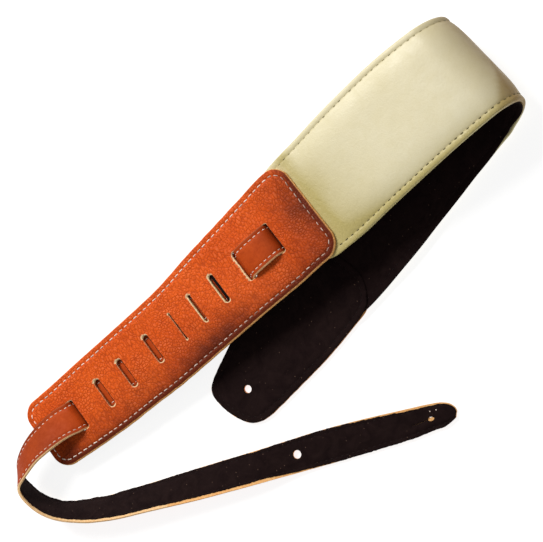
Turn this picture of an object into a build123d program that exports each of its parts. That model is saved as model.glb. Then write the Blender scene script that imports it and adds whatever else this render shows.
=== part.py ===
from build123d import *
import os
import math

# Padded leather guitar strap, folded over and laid down on a flat surface.
# Millimetres, +Z up, the surface is z = 0. +X runs along the slotted adjuster
# panel towards the fold of the shoulder pad, +Y to the panel's upper long edge.

# ---- driving dimensions -------------------------------------------------
LEATHER_T = 2.2          # tan leather of the panel and the end tab
LINING_T = 1.0           # suede lining of the panel and the end tab
COVER_T = 1.3            # cream leather of the shoulder pad
FOAM_T = 4.0             # foam inside the shoulder pad
FOAM_MIN = 0.24          # gap left where the foam has run out at the seams
BACKING_T = 1.2          # suede back of the shoulder pad
STRAP_LEATHER_T = 2.0    # tan leather of the narrow adjuster strap
STRAP_LINING_T = 0.8     # suede lining of the narrow adjuster strap
STRAP_HALF = 12.1        # half the width of the narrow adjuster strap
SLOT_LEN = 27.0          # adjuster slots, end to end
SLOT_W_FREE = 4.8        # width of a slot with nothing through it
THREAD_W = 0.7
THREAD_T = 0.4
THREAD_LIFT = 0.06
BUTTON_HOLE_R = 2.8      # strap-button hole of the end tab
TAIL_HOLE_R = 3.0        # strap-button holes of the narrow strap
PANEL_X0, PANEL_X1 = -218.0, 60.3
PANEL_R0, PANEL_R1 = 12.0, 14.0
PAD_X0 = 38.0            # where the pad's end lies between panel and lining
FOAM_X0 = 65.0
LAP_X0 = 24.0             # the lap's ramp starts here
LAP_RUN = 12.0
LAP = 2.25               # the panel leather rises this much to lap the pad
TAB_LAP = 2.25
HINGE_GAP = 0.45         # gap between the two bodies at each bend
ORIGIN = (-16.885, -54.905)   # moved to the middle of the base below

# free slots and the three slots that the adjuster strap passes through
FREE_SLOTS = [-152.7, -128.8, -100.4, -74.4, -53.8, -31.4]
USED_SLOTS = [(-181.7, 6.6), (-5.5, 6.6), (22.35, 6.8)]

# ---- profiles of the long strap ----------------------------------------
TOP_Z = [(-225, 12.5), (-218, 13), (-193, 14), (-142, 17), (-91, 20), (-38, 24), (14, 28), (34, 29.6),
         (60, 32.2), (76, 34.4), (98, 38), (119, 41.6), (140, 45), (158, 47.6), (172, 49.4), (182, 50.2),
         (195, 50.2)]
EDGE_L = [(-225, 41.6), (-205, 41.7), (-192, 41.2), (-155, 41.0), (-118, 40.5), (-95, 40.3), (-71, 40.6),
          (-60, 41.3), (-48, 42.8), (-37, 43.9), (-25, 44.7), (-14, 45.4), (-3, 46.1), (8, 47.1), (19, 47.9),
          (30, 48.4), (60, 49.0)]
EDGE_R = [(-225, -13.0), (-212, -14.6), (-198, -16.4), (-185, -18.0), (-173, -19.3), (-161, -20.5),
          (-149, -21.6), (-125, -22.6), (-113, -23.5), (-101, -24.4), (-66, -24.9), (-32, -25.3), (-9, -25.7),
          (13, -26.6), (34, -26.8), (60, -27.4)]
PAD_L = [(38, 49.4), (52, 50.2), (63, 50.9), (74, 51.6), (85, 52.1), (95, 52.7), (106, 53.1), (137, 53.2),
         (148, 53.0), (158, 52.6), (168, 51.9), (178, 51.0), (188, 50.2)]
PAD_R = [(38, -28.4), (56, -29.2), (67, -29.7), (78, -29.9), (99, -29.3), (150, -29.1), (180, -29.5),
         (190, -29.7)]
STRAP_C = [(-182, 10.9), (-153, 10.0), (-100, 10.2), (-54, 10.2), (-6, 10.5), (22, 10.2), (52, 10.3)]


def lerp(tab, x):
    if x <= tab[0][0]:
        return tab[0][1]
    for (x0, y0), (x1, y1) in zip(tab, tab[1:]):
        if x <= x1:
            return y0 + (y1 - y0) * (x - x0) / (x1 - x0)
    return tab[-1][1]


def add(a, b, k=1.0):
    return (a[0] + k * b[0], a[1] + k * b[1], a[2] + k * b[2])


def sub(a, b):
    return (a[0] - b[0], a[1] - b[1], a[2] - b[2])


def cross(a, b):
    return (a[1] * b[2] - a[2] * b[1], a[2] * b[0] - a[0] * b[2], a[0] * b[1] - a[1] * b[0])


def unit(a):
    n = math.sqrt(a[0] ** 2 + a[1] ** 2 + a[2] ** 2)
    return (a[0] / n, a[1] / n, a[2] / n)


def dist(a, b):
    return math.sqrt(sum((p - q) ** 2 for p, q in zip(a, b)))


def home(p):
    return (p[0] - ORIGIN[0], p[1] - ORIGIN[1], p[2])


def normals(st):
    """Outward normal at each station, from the run direction and the width."""
    out = []
    for i in range(len(st)):
        a, b = st[max(i - 1, 0)], st[min(i + 1, len(st) - 1)]
        ma = add(a[0], a[1], 1.0)
        mb = add(b[0], b[1], 1.0)
        t = sub(mb, ma)
        w = sub(st[i][0], st[i][1])
        out.append(unit(cross(t, w)))
    return out


def tri(a, b, c):
    return Face(Wire.make_polygon([a, b, c], close=True))


def loft(sections, keys):
    """Closed polyhedral solid through equal polygons; the diagonal of each side
    quad follows the keys, so that two solids with a shared side share it exactly."""
    faces = []
    n = len(keys)
    faces.append(Face(Wire.make_polygon([home(p) for p in sections[0]], close=True)))
    faces.append(Face(Wire.make_polygon([home(p) for p in sections[-1]], close=True)))
    for i in range(len(sections) - 1):
        s0, s1 = sections[i], sections[i + 1]
        for k in range(n):
            m = (k + 1) % n
            p, q, r, s = home(s0[k]), home(s0[m]), home(s1[m]), home(s1[k])
            if keys[k] <= keys[m]:
                faces += [tri(p, q, r), tri(p, r, s)]
            else:
                faces += [tri(p, q, s), tri(q, r, s)]
    solid = Solid(Shell(faces))
    if solid.volume < 0:
        solid = Solid(Shell([-f for f in faces]))
    return solid


def ribbon(st, nr, prof, keys):
    """prof(i, width) gives the (v, t) polygon at station i; v is measured from edge A."""
    secs = []
    for i, (a, b) in enumerate(st):
        w = dist(a, b)
        d = unit(sub(b, a))
        secs.append([add(add(a, d, v), nr[i], t) for v, t in prof(i, w)])
    return loft(secs, keys)


def slab(t0, t1, inset=0.0):
    """Rectangle between the two thickness functions or numbers."""
    def f(i, w):
        u0 = t0(i) if callable(t0) else t0
        u1 = t1(i) if callable(t1) else t1
        return [(inset, u0), (inset, u1), (w - inset, u1), (w - inset, u0)]
    return f


SLAB_KEYS = [(0, 0), (0, 1), (1, 1), (1, 0)]


def tube(path, lift, rise, half=THREAD_W / 2, closed=False):
    """Flat thread along a list of (point, normal); one closed solid."""
    secs = []
    n = len(path)
    for i, (p, nn) in enumerate(path):
        if closed:
            a, b = path[(i - 1) % n][0], path[(i + 1) % n][0]
        else:
            a, b = path[max(i - 1, 0)][0], path[min(i + 1, n - 1)][0]
        side = unit(cross(nn, unit(sub(b, a))))
        lo, hi = add(p, nn, lift), add(p, nn, lift + rise)
        secs.append([add(lo, side, -half), add(hi, side, -half), add(hi, side, half), add(lo, side, half)])
    if not closed:
        return loft(secs, SLAB_KEYS)
    faces = []
    for i in range(n):
        s0, s1 = secs[i], secs[(i + 1) % n]
        for k in range(4):
            m = (k + 1) % 4
            p, q, r, s = home(s0[k]), home(s0[m]), home(s1[m]), home(s1[k])
            faces += [tri(p, q, r), tri(p, r, s)]
    solid = Solid(Shell(faces))
    if solid.volume < 0:
        solid = Solid(Shell([-f for f in faces]))
    return solid


def corner(dx, r):
    """Inset of a rounded corner at distance dx from the end."""
    return 0.0 if dx >= r else r - math.sqrt(max(r * r - (r - dx) ** 2, 0.0))


def top_z(x):
    return lerp(TOP_Z, x)


# ---- front panel --------------------------------------------------------
def steps(x0, x1, n):
    return [x0 + (x1 - x0) * i / n for i in range(n + 1)]


px = ([PANEL_X0 + d for d in (0.0, 0.7, 2.2, 4.5, 7.5, 12.0)] + steps(-199, 18, 22)
      + [24.0, 30.0, 36.0, 46.0, 49.5, 53.0, 56.0, 58.6, 59.8, 60.3])
panel_st = []
for x in px:
    ins = max(corner(x - PANEL_X0, PANEL_R0), corner(PANEL_X1 - x, PANEL_R1))
    z = top_z(x)
    panel_st.append(((x, lerp(EDGE_L, x) - ins, z), (x, lerp(EDGE_R, x) + ins, z)))
panel_n = [(0.0, 0.0, 1.0)] * len(panel_st)


def lap(x):
    return LAP * min(max((x - LAP_X0) / LAP_RUN, 0.0), 1.0)


def lining_top(x):
    return -LEATHER_T - (COVER_T + FOAM_MIN + BACKING_T + 0.25 - LEATHER_T) * min(max((x - LAP_X0) / LAP_RUN, 0.0), 1.0)


panel = ribbon(panel_st, panel_n, slab(lambda i: lap(px[i]) - LEATHER_T, lambda i: lap(px[i])), SLAB_KEYS)
panel_lining = ribbon(panel_st, panel_n, slab(lambda i: lining_top(px[i]) - LINING_T, lambda i: lining_top(px[i])), SLAB_KEYS)


def slot_cutter(x, width):
    y = lerp(STRAP_C, x) + 0.3
    hx, hy = home((x, y, 0))[:2]
    sk = Plane.XY * Pos(hx, hy) * SlotOverall(SLOT_LEN, width, rotation=90)
    return extrude(sk, 80)


for x in FREE_SLOTS:
    c = slot_cutter(x, SLOT_W_FREE)
    panel, panel_lining = panel - c, panel_lining - c
for x, wdt in USED_SLOTS:
    c = slot_cutter(x, wdt)
    panel, panel_lining = panel - c, panel_lining - c


def panel_seam(inset, height):
    """Closed stitch line that follows the panel's edge at the given inset."""
    r0, r1 = PANEL_R0 - 4.0, PANEL_R1 - 4.0
    x0, x1 = PANEL_X0 + inset, PANEL_X1 - inset
    xs = [x0 + d for d in (0.0, 0.5, 1.6, 3.5, 6.0)] + steps(-196, 18, 20) + [24.0, 30.0, 36.0, 44.0] + [x1 - d for d in (7.5, 4.0, 1.6, 0.4, 0.0)]
    up, dn = [], []
    for x in xs:
        ins = max(corner(x - x0, r0), corner(x1 - x, r1)) + inset
        z = height(x)
        up.append((x, lerp(EDGE_L, x) - ins, z))
        dn.append((x, lerp(EDGE_R, x) + ins, z))
    return [(p, (0.0, 0.0, 1.0)) for p in up + dn[::-1]]


panel_needle = tube(panel_seam(5.0, lambda x: top_z(x) + lap(x)), THREAD_LIFT, THREAD_T, closed=True)
panel_bobbin = tube(panel_seam(5.0, lambda x: top_z(x) + lining_top(x) - LINING_T), -THREAD_LIFT - THREAD_T, THREAD_T, closed=True)

# ---- shoulder pad -------------------------------------------------------
pad_x = [PAD_X0, 48.0, 58.0, FOAM_X0, 70.0, 76.0, 86.0, 98.0, 110.0, 122.0, 134.0, 146.0, 158.0, 168.0, 175.0, 181.0]
pad_front = [((x, lerp(PAD_L, x), top_z(x)), (x, lerp(PAD_R, x), top_z(x))) for x in pad_x]
FOLD_R = 24.85
FOLD_MID = 25.35          # the lower run stands on its stitches, clear of the surface
fold = []
for deg in (84, 72, 60, 48, 36, 24, 12, 0, -12, -24, -36, -48, -60, -72, -84):
    th = math.radians(deg)
    k = (90.0 - deg) / 180.0
    cxa = 187.0 if deg >= 0 else 187.0 - 8.6 * (-deg / 90.0) ** 1.3
    cxb = 192.0 if deg >= 0 else 192.0 + 1.5 * (-deg / 90.0)
    ya = 50.2 - 3.2 * min(k * 2, 1.0) - 5.8 * max(k * 2 - 1, 0.0) ** 1.2
    yb = -29.7 - 7.2 * max(k * 2 - 1, 0.0) ** 1.3
    z = FOLD_MID + FOLD_R * math.sin(th)
    fold.append(((cxa + 25.3 * math.cos(th), ya, z), (cxb + 25.2 * math.cos(th), yb, z)))
apex = fold[7]
REAR_DIR = (-0.9789, -0.2045)
rear_b = [(194.5, -37.2), (184, -39.1), (170, -41.8), (156, -44.3), (142, -47.4), (128, -50.5), (114, -53.6),
          (102, -56.6), (90, -59.2), (82, -61.0), (75, -62.5), (69, -63.7), (62, -65.1), (52, -66.3), (40, -67.2)]
rear_w = [80.5, 81.0, 81.5, 82.0, 82.0, 82.0, 82.0, 81.8, 81.5, 81.2, 81.0, 80.8, 80.4, 80.0, 79.4]
rear_z = [0.5] * 8 + [0.7, 1.1, 1.7, 2.1, TAB_LAP, TAB_LAP, TAB_LAP]
rear_f = [1.0] * 9 + [0.85, 0.6, 0.35, 0.06, 0.06, 0.06]
pad_rear = []
for (bx, by), w, z in zip(rear_b, rear_w, rear_z):
    pad_rear.append(((bx + REAR_DIR[1] * w, by - REAR_DIR[0] * w, z), (bx, by, z)))

pad_all = pad_front + fold + pad_rear
pad_n = normals(pad_all)
split = len(pad_front) + 7
# the two halves of the pad stop a little short of the fold's middle line
eps = HINGE_GAP / 2


def half(lo, hi, start=None, end=None):
    st, nr, idx = list(pad_all[lo:hi]), list(pad_n[lo:hi]), list(range(lo, hi))
    if end is not None:
        p = pad_all[hi]
        t = [unit(sub(p[j], st[-1][j])) for j in (0, 1)]
        st.append(tuple(add(p[j], t[j], -eps) for j in (0, 1)))
        nr.append(pad_n[hi])
        idx.append(hi)
    if start is not None:
        p = pad_all[lo - 1]
        t = [unit(sub(st[0][j], p[j])) for j in (0, 1)]
        st.insert(0, tuple(add(p[j], t[j], eps) for j in (0, 1)))
        nr.insert(0, pad_n[lo - 1])
        idx.insert(0, lo - 1)
    return st, nr, idx


front_st, front_n, front_i = half(0, split, end=True)
rear_st, rear_n, rear_i = half(split + 1, len(pad_all), start=True)


def foam_f(gi):
    if gi < len(pad_front):
        return min(max((pad_x[gi] - 61.0) / 16.0, 0.06), 1.0)
    k = gi - len(pad_front) - len(fold)
    return rear_f[k] if k >= 0 else 1.0


COVER_KEYS = [(0, 0), (0, 3), (9, 3), (9, 0), (8, 0), (8, 2), (1, 2), (1, 0)]


def cover_prof(idx):
    def f(i, w):
        d = -COVER_T - max(FOAM_T * foam_f(idx[i]), FOAM_MIN)
        c = COVER_T
        return [(0, d), (0, 0), (w, 0), (w, d), (w - c, d), (w - c, -c), (c, -c), (c, d)]
    return f


def foam_prof(idx):
    def f(i, w):
        d = -COVER_T - max(FOAM_T * foam_f(idx[i]), FOAM_MIN)
        c = COVER_T
        return [(c, d), (c, -c), (w - c, -c), (w - c, d)]
    return f


FOAM_KEYS = [(1, 0), (1, 2), (8, 2), (8, 0)]


def back_prof(idx):
    def f(i, w):
        d = -COVER_T - max(FOAM_T * foam_f(idx[i]), FOAM_MIN)
        c = COVER_T
        return [(0, d - BACKING_T), (0, d), (c, d), (w - c, d), (w, d), (w, d - BACKING_T)]
    return f


BACK_KEYS = [(0, -1), (0, 0), (1, 0), (8, 0), (9, 0), (9, -1)]


def cut_range(st, nr, idx, lo, hi):
    sel = [j for j in range(len(st)) if lo <= idx[j] <= hi]
    return [st[j] for j in sel], [nr[j] for j in sel], [idx[j] for j in sel]


def pad_parts(st, nr, idx, foam_lo, foam_hi):
    cover = ribbon(st, nr, cover_prof(idx), COVER_KEYS)
    back = ribbon(st, nr, back_prof(idx), BACK_KEYS)
    fs, fn, fi = cut_range(st, nr, idx, foam_lo, foam_hi)
    foam = ribbon(fs, fn, foam_prof(fi), FOAM_KEYS)
    return cover, foam, back


first_foam = pad_x.index(FOAM_X0)
cover_front, foam_front, back_front = pad_parts(front_st, front_n, front_i, first_foam, 10 ** 6)
last_foam = len(pad_front) + len(fold) + 11
cover_rear, foam_rear, back_rear = pad_parts(rear_st, rear_n, rear_i, 0, last_foam)


def pad_seam(st, nr, idx, side, face, lo, hi):
    """Stitch row 4.5 mm in from one long edge of the pad, on the cover or the back."""
    path = []
    for (a, b), nn, gi in zip(st, nr, idx):
        if not lo <= gi <= hi:
            continue
        d = unit(sub(b, a))
        p = add(a, d, 4.5) if side == 0 else add(b, d, -4.5)
        t = 0.0 if face == 0 else -COVER_T - max(FOAM_T * foam_f(gi), FOAM_MIN) - BACKING_T
        path.append((add(p, nn, t), nn))
    return path


def pad_threads(st, nr, idx, lo, hi):
    needle = [tube(pad_seam(st, nr, idx, s, 0, lo, hi), THREAD_LIFT, THREAD_T) for s in (0, 1)]
    bobbin = [tube(pad_seam(st, nr, idx, s, 1, lo, hi), -THREAD_LIFT - THREAD_T, THREAD_T) for s in (0, 1)]
    return Compound(needle), Compound(bobbin)


pad_needle_front, pad_bobbin_front = pad_threads(front_st, front_n, front_i, pad_x.index(FOAM_X0), 10 ** 6)
pad_needle_rear, pad_bobbin_rear = pad_threads(rear_st, rear_n, rear_i, 0, len(pad_front) + len(fold) + 9)

# ---- end tab ------------------------------------------------------------
TAB_O = (46.4, -23.2)
TAB_E1 = (-0.9636, -0.2672)   # along the tab, away from the pad
TAB_E2 = (-0.2672, 0.9636)    # across the tab
TAB_L = [(0, 15.0), (1, 21.5), (4.6, 28.3), (8.5, 32.8), (13, 36.3), (20.5, 39.0), (26, 39.2), (34, 38.4),
         (50, 36.4), (66, 34.2), (82, 32.0), (97.6, 30.0), (112, 27.9), (122, 26.4), (129.1, 25.2), (133.5, 23.4),
         (136.1, 21.4), (138, 18.0), (139.2, 13.5), (139.9, 8.5), (140.1, 5.0)]
TAB_R = [(0, 16.2), (1, 22.0), (4.6, 28.3), (8.5, 33.0), (13, 36.7), (20.5, 39.4), (26, 39.2), (34, 38.4),
         (50, 37.2), (66, 35.4), (82, 32.6), (97.6, 29.8), (112, 27.2), (122, 25.1), (129.1, 22.6), (133.5, 19.2),
         (136.1, 16.1), (138, 11.5), (139.2, 6.5), (139.9, 1.5), (140.1, -1.5)]


def tab_pt(k, h, z):
    return (TAB_O[0] + TAB_E1[0] * k + TAB_E2[0] * h, TAB_O[1] + TAB_E1[1] * k + TAB_E2[1] * h, z)


tab_k = [p[0] for p in TAB_L]
tab_st = [(tab_pt(k, hl, 0.0), tab_pt(k, -hr, 0.0)) for (k, hl), (_, hr) in zip(TAB_L, TAB_R)]
up = [(0.0, 0.0, 1.0)] * len(tab_st)
TAB_STACK = TAB_LAP + COVER_T + FOAM_MIN + BACKING_T + 0.2   # underside of the lining over the pad's end


def tab_under(k):
    """Underside height of the tab's lining."""
    return TAB_STACK + (LEATHER_T - TAB_STACK) * min(max((k - 22.0) / 10.0, 0.0), 1.0)


tab = ribbon(tab_st, up, slab(0.0, LEATHER_T), SLAB_KEYS)
tab_lining = ribbon(tab_st, up, slab(lambda i: tab_under(tab_k[i]), lambda i: tab_under(tab_k[i]) + LINING_T), SLAB_KEYS)
TAB_HOLE = tab_pt(117.5, 0.0, 0.0)
hx, hy = home(TAB_HOLE)[:2]
tab_drill = Pos(hx, hy, 0) * Cylinder(BUTTON_HOLE_R, 40)
tab, tab_lining = tab - tab_drill, tab_lining - tab_drill


def tab_seam(inset, height):
    """Closed stitch line: the tab's outline moved inwards by the inset."""
    loop = [(k, h) for k, h in TAB_L] + [(k, -h) for k, h in TAB_R[::-1]]
    out = []
    n = len(loop)
    for i in range(n):
        (k0, h0), (k1, h1) = loop[i - 1], loop[(i + 1) % n]
        tk, th = k1 - k0, h1 - h0
        ln = math.hypot(tk, th)
        k, h = loop[i][0] + th / ln * inset, loop[i][1] - tk / ln * inset
        out.append(tab_pt(k, h, height(k)))
    return out


tab_needle = tube([(p, (0.0, 0.0, 1.0)) for p in tab_seam(5.0, lambda k: 0.0)], 0.02, 0.02, closed=True)
tab_bobbin = tube([(p, (0.0, 0.0, 1.0)) for p in tab_seam(5.0, lambda k: tab_under(k) + LINING_T)], THREAD_LIFT, THREAD_T, closed=True)
# the needle thread of the tab lies in a groove of its underside
groove = tube([(p, (0.0, 0.0, 1.0)) for p in tab_seam(5.0, lambda k: 0.0)], -0.2, 0.2 + THREAD_T + THREAD_LIFT, half=THREAD_W / 2 + 0.05, closed=True)
tab = tab - groove
tab_needle = tube([(p, (0.0, 0.0, 1.0)) for p in tab_seam(5.0, lambda k: 0.0)], 0.04, THREAD_T - 0.04, closed=True)

# ---- narrow adjuster strap ---------------------------------------------
# run woven through the panel: (x, height of the tan face over the panel's top face)
WEAVE = [(50, -5.4), (38, -5.3), (31, -4.9), (27.4, -4.5), (25.4, -3.9), (24.1, -2.2), (23.0, 0.4), (21.6, 2.4),
         (18.8, 3.7), (14.0, 4.5), (8.5, 4.8), (3.0, 4.5), (-1.8, 3.7), (-4.9, 2.4), (-6.3, 0.4), (-7.4, -2.2),
         (-8.7, -3.9), (-10.8, -4.5), (-15, -4.6), (-40, -4.6), (-65, -4.6), (-90, -4.6), (-115, -4.6), (-140, -4.6),
         (-160, -4.6), (-170.8, -4.6), (-175.8, -4.4), (-178.5, -3.8), (-180.0, -2.2), (-181.1, 0.4), (-182.4, 2.6),
         (-184.6, 4.0)]
CURL = [
    (-190.9, 0.4, 21.8, -190.9, 24.5, 18.4), (-199.2, 1.7, 24.5, -200.6, 25.2, 18.3),
    (-207.2, 2.0, 27.0, -209.9, 24.7, 18.4), (-214.9, 1.9, 29.2, -218.8, 23.7, 18.4),
    (-222.7, 1.6, 31.0, -227.6, 21.8, 18.2), (-230.7, -0.3, 32.1, -236.3, 18.6, 17.2),
    (-239.2, -2.4, 32.7, -244.7, 14.1, 15.2), (-247.9, -5.1, 32.3, -250.5, 7.1, 12.0),
    (-250.7, -13.7, 29.7, -250.8, -2.3, 8.2), (-250.0, -23.6, 26.7, -249.3, -12.6, 4.9),
    (-246.1, -34.1, 24.0, -244.6, -23.2, 2.2), (-239.1, -43.5, 22.0, -236.5, -32.1, 0.6),
    (-230.6, -51.2, 20.4, -226.5, -38.3, 0.1), (-222.1, -57.9, 19.2, -216.7, -43.4, 0.1),
    (-213.3, -63.1, 18.3, -207.6, -48.2, 0.1), (-205.0, -67.9, 17.4, -198.7, -51.8, 0.1),
    (-196.5, -71.8, 16.8, -190.0, -55.2, 0.0), (-188.1, -75.5, 16.3, -181.4, -58.5, 0.1),
    (-179.7, -79.2, 15.8, -173.0, -61.8, 0.1), (-171.5, -82.9, 15.1, -164.5, -65.0, 0.1),
    (-163.2, -86.7, 14.2, -155.9, -68.2, 0.1), (-154.7, -90.6, 13.2, -147.2, -71.4, 0.0),
    (-146.0, -94.5, 12.3, -138.2, -74.8, 0.0), (-136.9, -98.4, 11.5, -128.9, -78.3, 0.0),
    (-127.4, -102.3, 10.9, -119.4, -81.9, 0.0), (-117.8, -106.3, 10.2, -109.7, -85.7, 0.0),
    (-108.2, -110.3, 9.2, -99.9, -89.4, 0.0), (-98.8, -114.1, 7.7, -90.3, -93.0, 0.0),
    (-89.9, -117.6, 5.4, -81.1, -96.3, 0.3), (-78.6, -122.3, 2.8, -69.8, -100.2, 0.7),
    (-67.4, -126.7, 1.1, -58.4, -104.3, 0.7), (-56.3, -131.2, 0.4, -47.2, -108.5, 0.4),
    (-45.1, -135.7, 0.1, -36.0, -113.0, 0.1), (-33.9, -140.0, 0.0, -25.0, -117.8, 0.0),
    (-22.7, -144.3, 0.0, -14.1, -122.6, 0.0), (-11.5, -148.5, 0.0, -3.1, -127.6, 0.0),
    (-0.3, -152.9, 0.0, 7.8, -132.7, 0.0), (11.1, -156.7, 0.0, 18.7, -137.8, 0.0),
    (24.9, -160.7, 0.0, 31.6, -143.9, 0.0), (31.5, -163.0, 0.0, 37.9, -147.0, 0.0),
    (35.8, -162.9, 0.0, 41.2, -149.4, 0.0), (39.2, -162.5, 0.0, 43.3, -152.2, 0.0),
    (41.8, -161.3, 0.0, 44.2, -155.6, 0.0)]
strap_st = []
for x, h in WEAVE:
    y = lerp(STRAP_C, x)
    z = top_z(x) + h
    strap_st.append(((x, y - STRAP_HALF, z), (x, y + STRAP_HALF, z)))
curl0 = len(strap_st)
for c in CURL:
    strap_st.append((c[0:3], c[3:6]))
strap_n = normals(strap_st)
BEND = curl0 + 8          # station where the tail starts to turn
g0, g1 = strap_st[BEND], strap_st[BEND + 1]
step = HINGE_GAP / dist(add(g0[0], g0[1]), add(g1[0], g1[1])) * 2
tail_first = tuple(add(g0[j], sub(g1[j], g0[j]), step) for j in (0, 1))
woven_st, woven_n = strap_st[:BEND + 1], strap_n[:BEND + 1]
tail_st = [tail_first] + strap_st[BEND + 1:]
tail_n = [strap_n[BEND]] + strap_n[BEND + 1:]
T1, T2 = -STRAP_LEATHER_T, -STRAP_LEATHER_T - STRAP_LINING_T
woven_leather = ribbon(woven_st, woven_n, slab(T1, 0.0), SLAB_KEYS)
woven_lining = ribbon(woven_st, woven_n, slab(T2, T1), SLAB_KEYS)
tail_leather = ribbon(tail_st, tail_n, slab(T1, 0.0), SLAB_KEYS)
tail_lining = ribbon(tail_st, tail_n, slab(T2, T1), SLAB_KEYS)
TAIL_HOLE = (-66.2, -113.5)
TIP_HOLE = (26.9, -152.6)
for cx, cy in (TAIL_HOLE, TIP_HOLE):
    hx, hy = home((cx, cy, 0))[:2]
    drill = Pos(hx, hy, 0) * Cylinder(TAIL_HOLE_R, 40)
    tail_leather, tail_lining = tail_leather - drill, tail_lining - drill
# the tip hole has a slit that lets the strap button's head through
hx, hy = home((TIP_HOLE[0] - 7.0 * 0.928, TIP_HOLE[1] + 7.0 * 0.372, 0))[:2]
slit = Pos(hx, hy, 0) * Rot(0, 0, -21.8) * Box(14.0, 0.6, 40)
tail_leather, tail_lining = tail_leather - slit, tail_lining - slit


def strap_row(st, nr, side, face, skip_last=0):
    path = []
    n = len(st) - skip_last
    for (a, b), nn in list(zip(st, nr))[:n]:
        d = unit(sub(b, a))
        p = add(a, d, 3.2) if side == 0 else add(b, d, -3.2)
        path.append((add(p, nn, 0.0 if face == 0 else T2), nn))
    return path


woven_needle = Compound([tube(strap_row(woven_st, woven_n, s, 0), THREAD_LIFT, THREAD_T - 0.1) for s in (0, 1)])
woven_bobbin = Compound([tube(strap_row(woven_st, woven_n, s, 1), -THREAD_LIFT - THREAD_T + 0.1, THREAD_T - 0.1) for s in (0, 1)])
# along the part that lies on the surface the needle thread sits in a groove
tn = [strap_row(tail_st, tail_n, s, 0, skip_last=4) for s in (0, 1)]
tail_groove = [tube(r, -THREAD_T, THREAD_T + 0.3, half=THREAD_W / 2 + 0.05) for r in tn]
for gsolid in tail_groove:
    tail_leather = tail_leather - gsolid
tail_needle = Compound([tube(r, -THREAD_T + 0.05, THREAD_T - 0.1) for r in tn])
tail_bobbin = Compound([tube(strap_row(tail_st, tail_n, s, 1, skip_last=4), -THREAD_LIFT - THREAD_T + 0.1, THREAD_T - 0.1) for s in (0, 1)])

# ---- write --------------------------------------------------------------
nodes = {
    "front_panel_leather": panel,
    "front_panel_lining": panel_lining,
    "front_panel_needle_thread": panel_needle,
    "front_panel_bobbin_thread": panel_bobbin,
    "pad_cover_front_run": cover_front,
    "pad_foam_front_run": foam_front,
    "pad_backing_front_run": back_front,
    "pad_needle_thread_front_run": pad_needle_front,
    "pad_bobbin_thread_front_run": pad_bobbin_front,
    "adjuster_strap_leather_woven_run": woven_leather,
    "adjuster_strap_lining_woven_run": woven_lining,
    "adjuster_strap_needle_thread_woven_run": woven_needle,
    "adjuster_strap_bobbin_thread_woven_run": woven_bobbin,
    "end_tab_leather": tab,
    "end_tab_lining": tab_lining,
    "end_tab_needle_thread": tab_needle,
    "end_tab_bobbin_thread": tab_bobbin,
    "pad_cover_rear_run": cover_rear,
    "pad_foam_rear_run": foam_rear,
    "pad_backing_rear_run": back_rear,
    "pad_needle_thread_rear_run": pad_needle_rear,
    "pad_bobbin_thread_rear_run": pad_bobbin_rear,
    "adjuster_strap_leather_tail": tail_leather,
    "adjuster_strap_lining_tail": tail_lining,
    "adjuster_strap_needle_thread_tail": tail_needle,
    "adjuster_strap_bobbin_thread_tail": tail_bobbin,
}
os.makedirs("parts", exist_ok=True)
for name, shape in nodes.items():
    export_step(shape, "parts/" + name + ".step")
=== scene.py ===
import bpy
import math
import random
import numpy as np
from mathutils import Matrix, Vector
from mathutils.geometry import delaunay_2d_cdt
from mathutils.kdtree import KDTree


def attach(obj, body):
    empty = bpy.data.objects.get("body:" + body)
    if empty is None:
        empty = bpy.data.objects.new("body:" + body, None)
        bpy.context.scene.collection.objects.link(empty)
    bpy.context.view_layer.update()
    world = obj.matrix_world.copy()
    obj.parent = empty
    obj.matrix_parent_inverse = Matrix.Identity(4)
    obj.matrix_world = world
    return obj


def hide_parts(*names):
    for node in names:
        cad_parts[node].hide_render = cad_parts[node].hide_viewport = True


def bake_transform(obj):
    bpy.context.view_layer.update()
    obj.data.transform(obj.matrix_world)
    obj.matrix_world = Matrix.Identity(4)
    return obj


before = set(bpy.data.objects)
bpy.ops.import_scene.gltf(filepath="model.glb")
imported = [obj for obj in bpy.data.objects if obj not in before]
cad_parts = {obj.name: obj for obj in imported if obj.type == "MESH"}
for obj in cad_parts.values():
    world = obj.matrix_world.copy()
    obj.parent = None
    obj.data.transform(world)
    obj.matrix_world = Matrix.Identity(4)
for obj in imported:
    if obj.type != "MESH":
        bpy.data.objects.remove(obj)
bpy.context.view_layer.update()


ORIGIN = np.array([-16.885, -54.905, 0.0])

# ---- the strap's measures ------------------------------------------------
LEATHER_T, LINING_T = 2.2, 1.0
COVER_T, FOAM_T, FOAM_MIN, BACKING_T = 1.3, 4.0, 0.24, 1.2
PAD_T = COVER_T + FOAM_T + BACKING_T
STRAP_LEATHER_T, STRAP_LINING_T = 2.0, 0.8
STRAP_HALF = 12.1
PANEL_X0, PANEL_X1 = -218.0, 60.3
PANEL_R0, PANEL_R1 = 12.0, 14.0
LAP, LAP_X0, LAP_RUN = 2.25, 24.0, 12.0
PAD_X0 = 38.0
FREE_SLOTS = [-152.7, -128.8, -100.4, -74.4, -53.8, -31.4]
USED_SLOTS = [(-181.7, 6.6), (-5.5, 6.6), (22.35, 6.8)]
SLOT_LEN, SLOT_W = 27.0, 4.8

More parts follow.
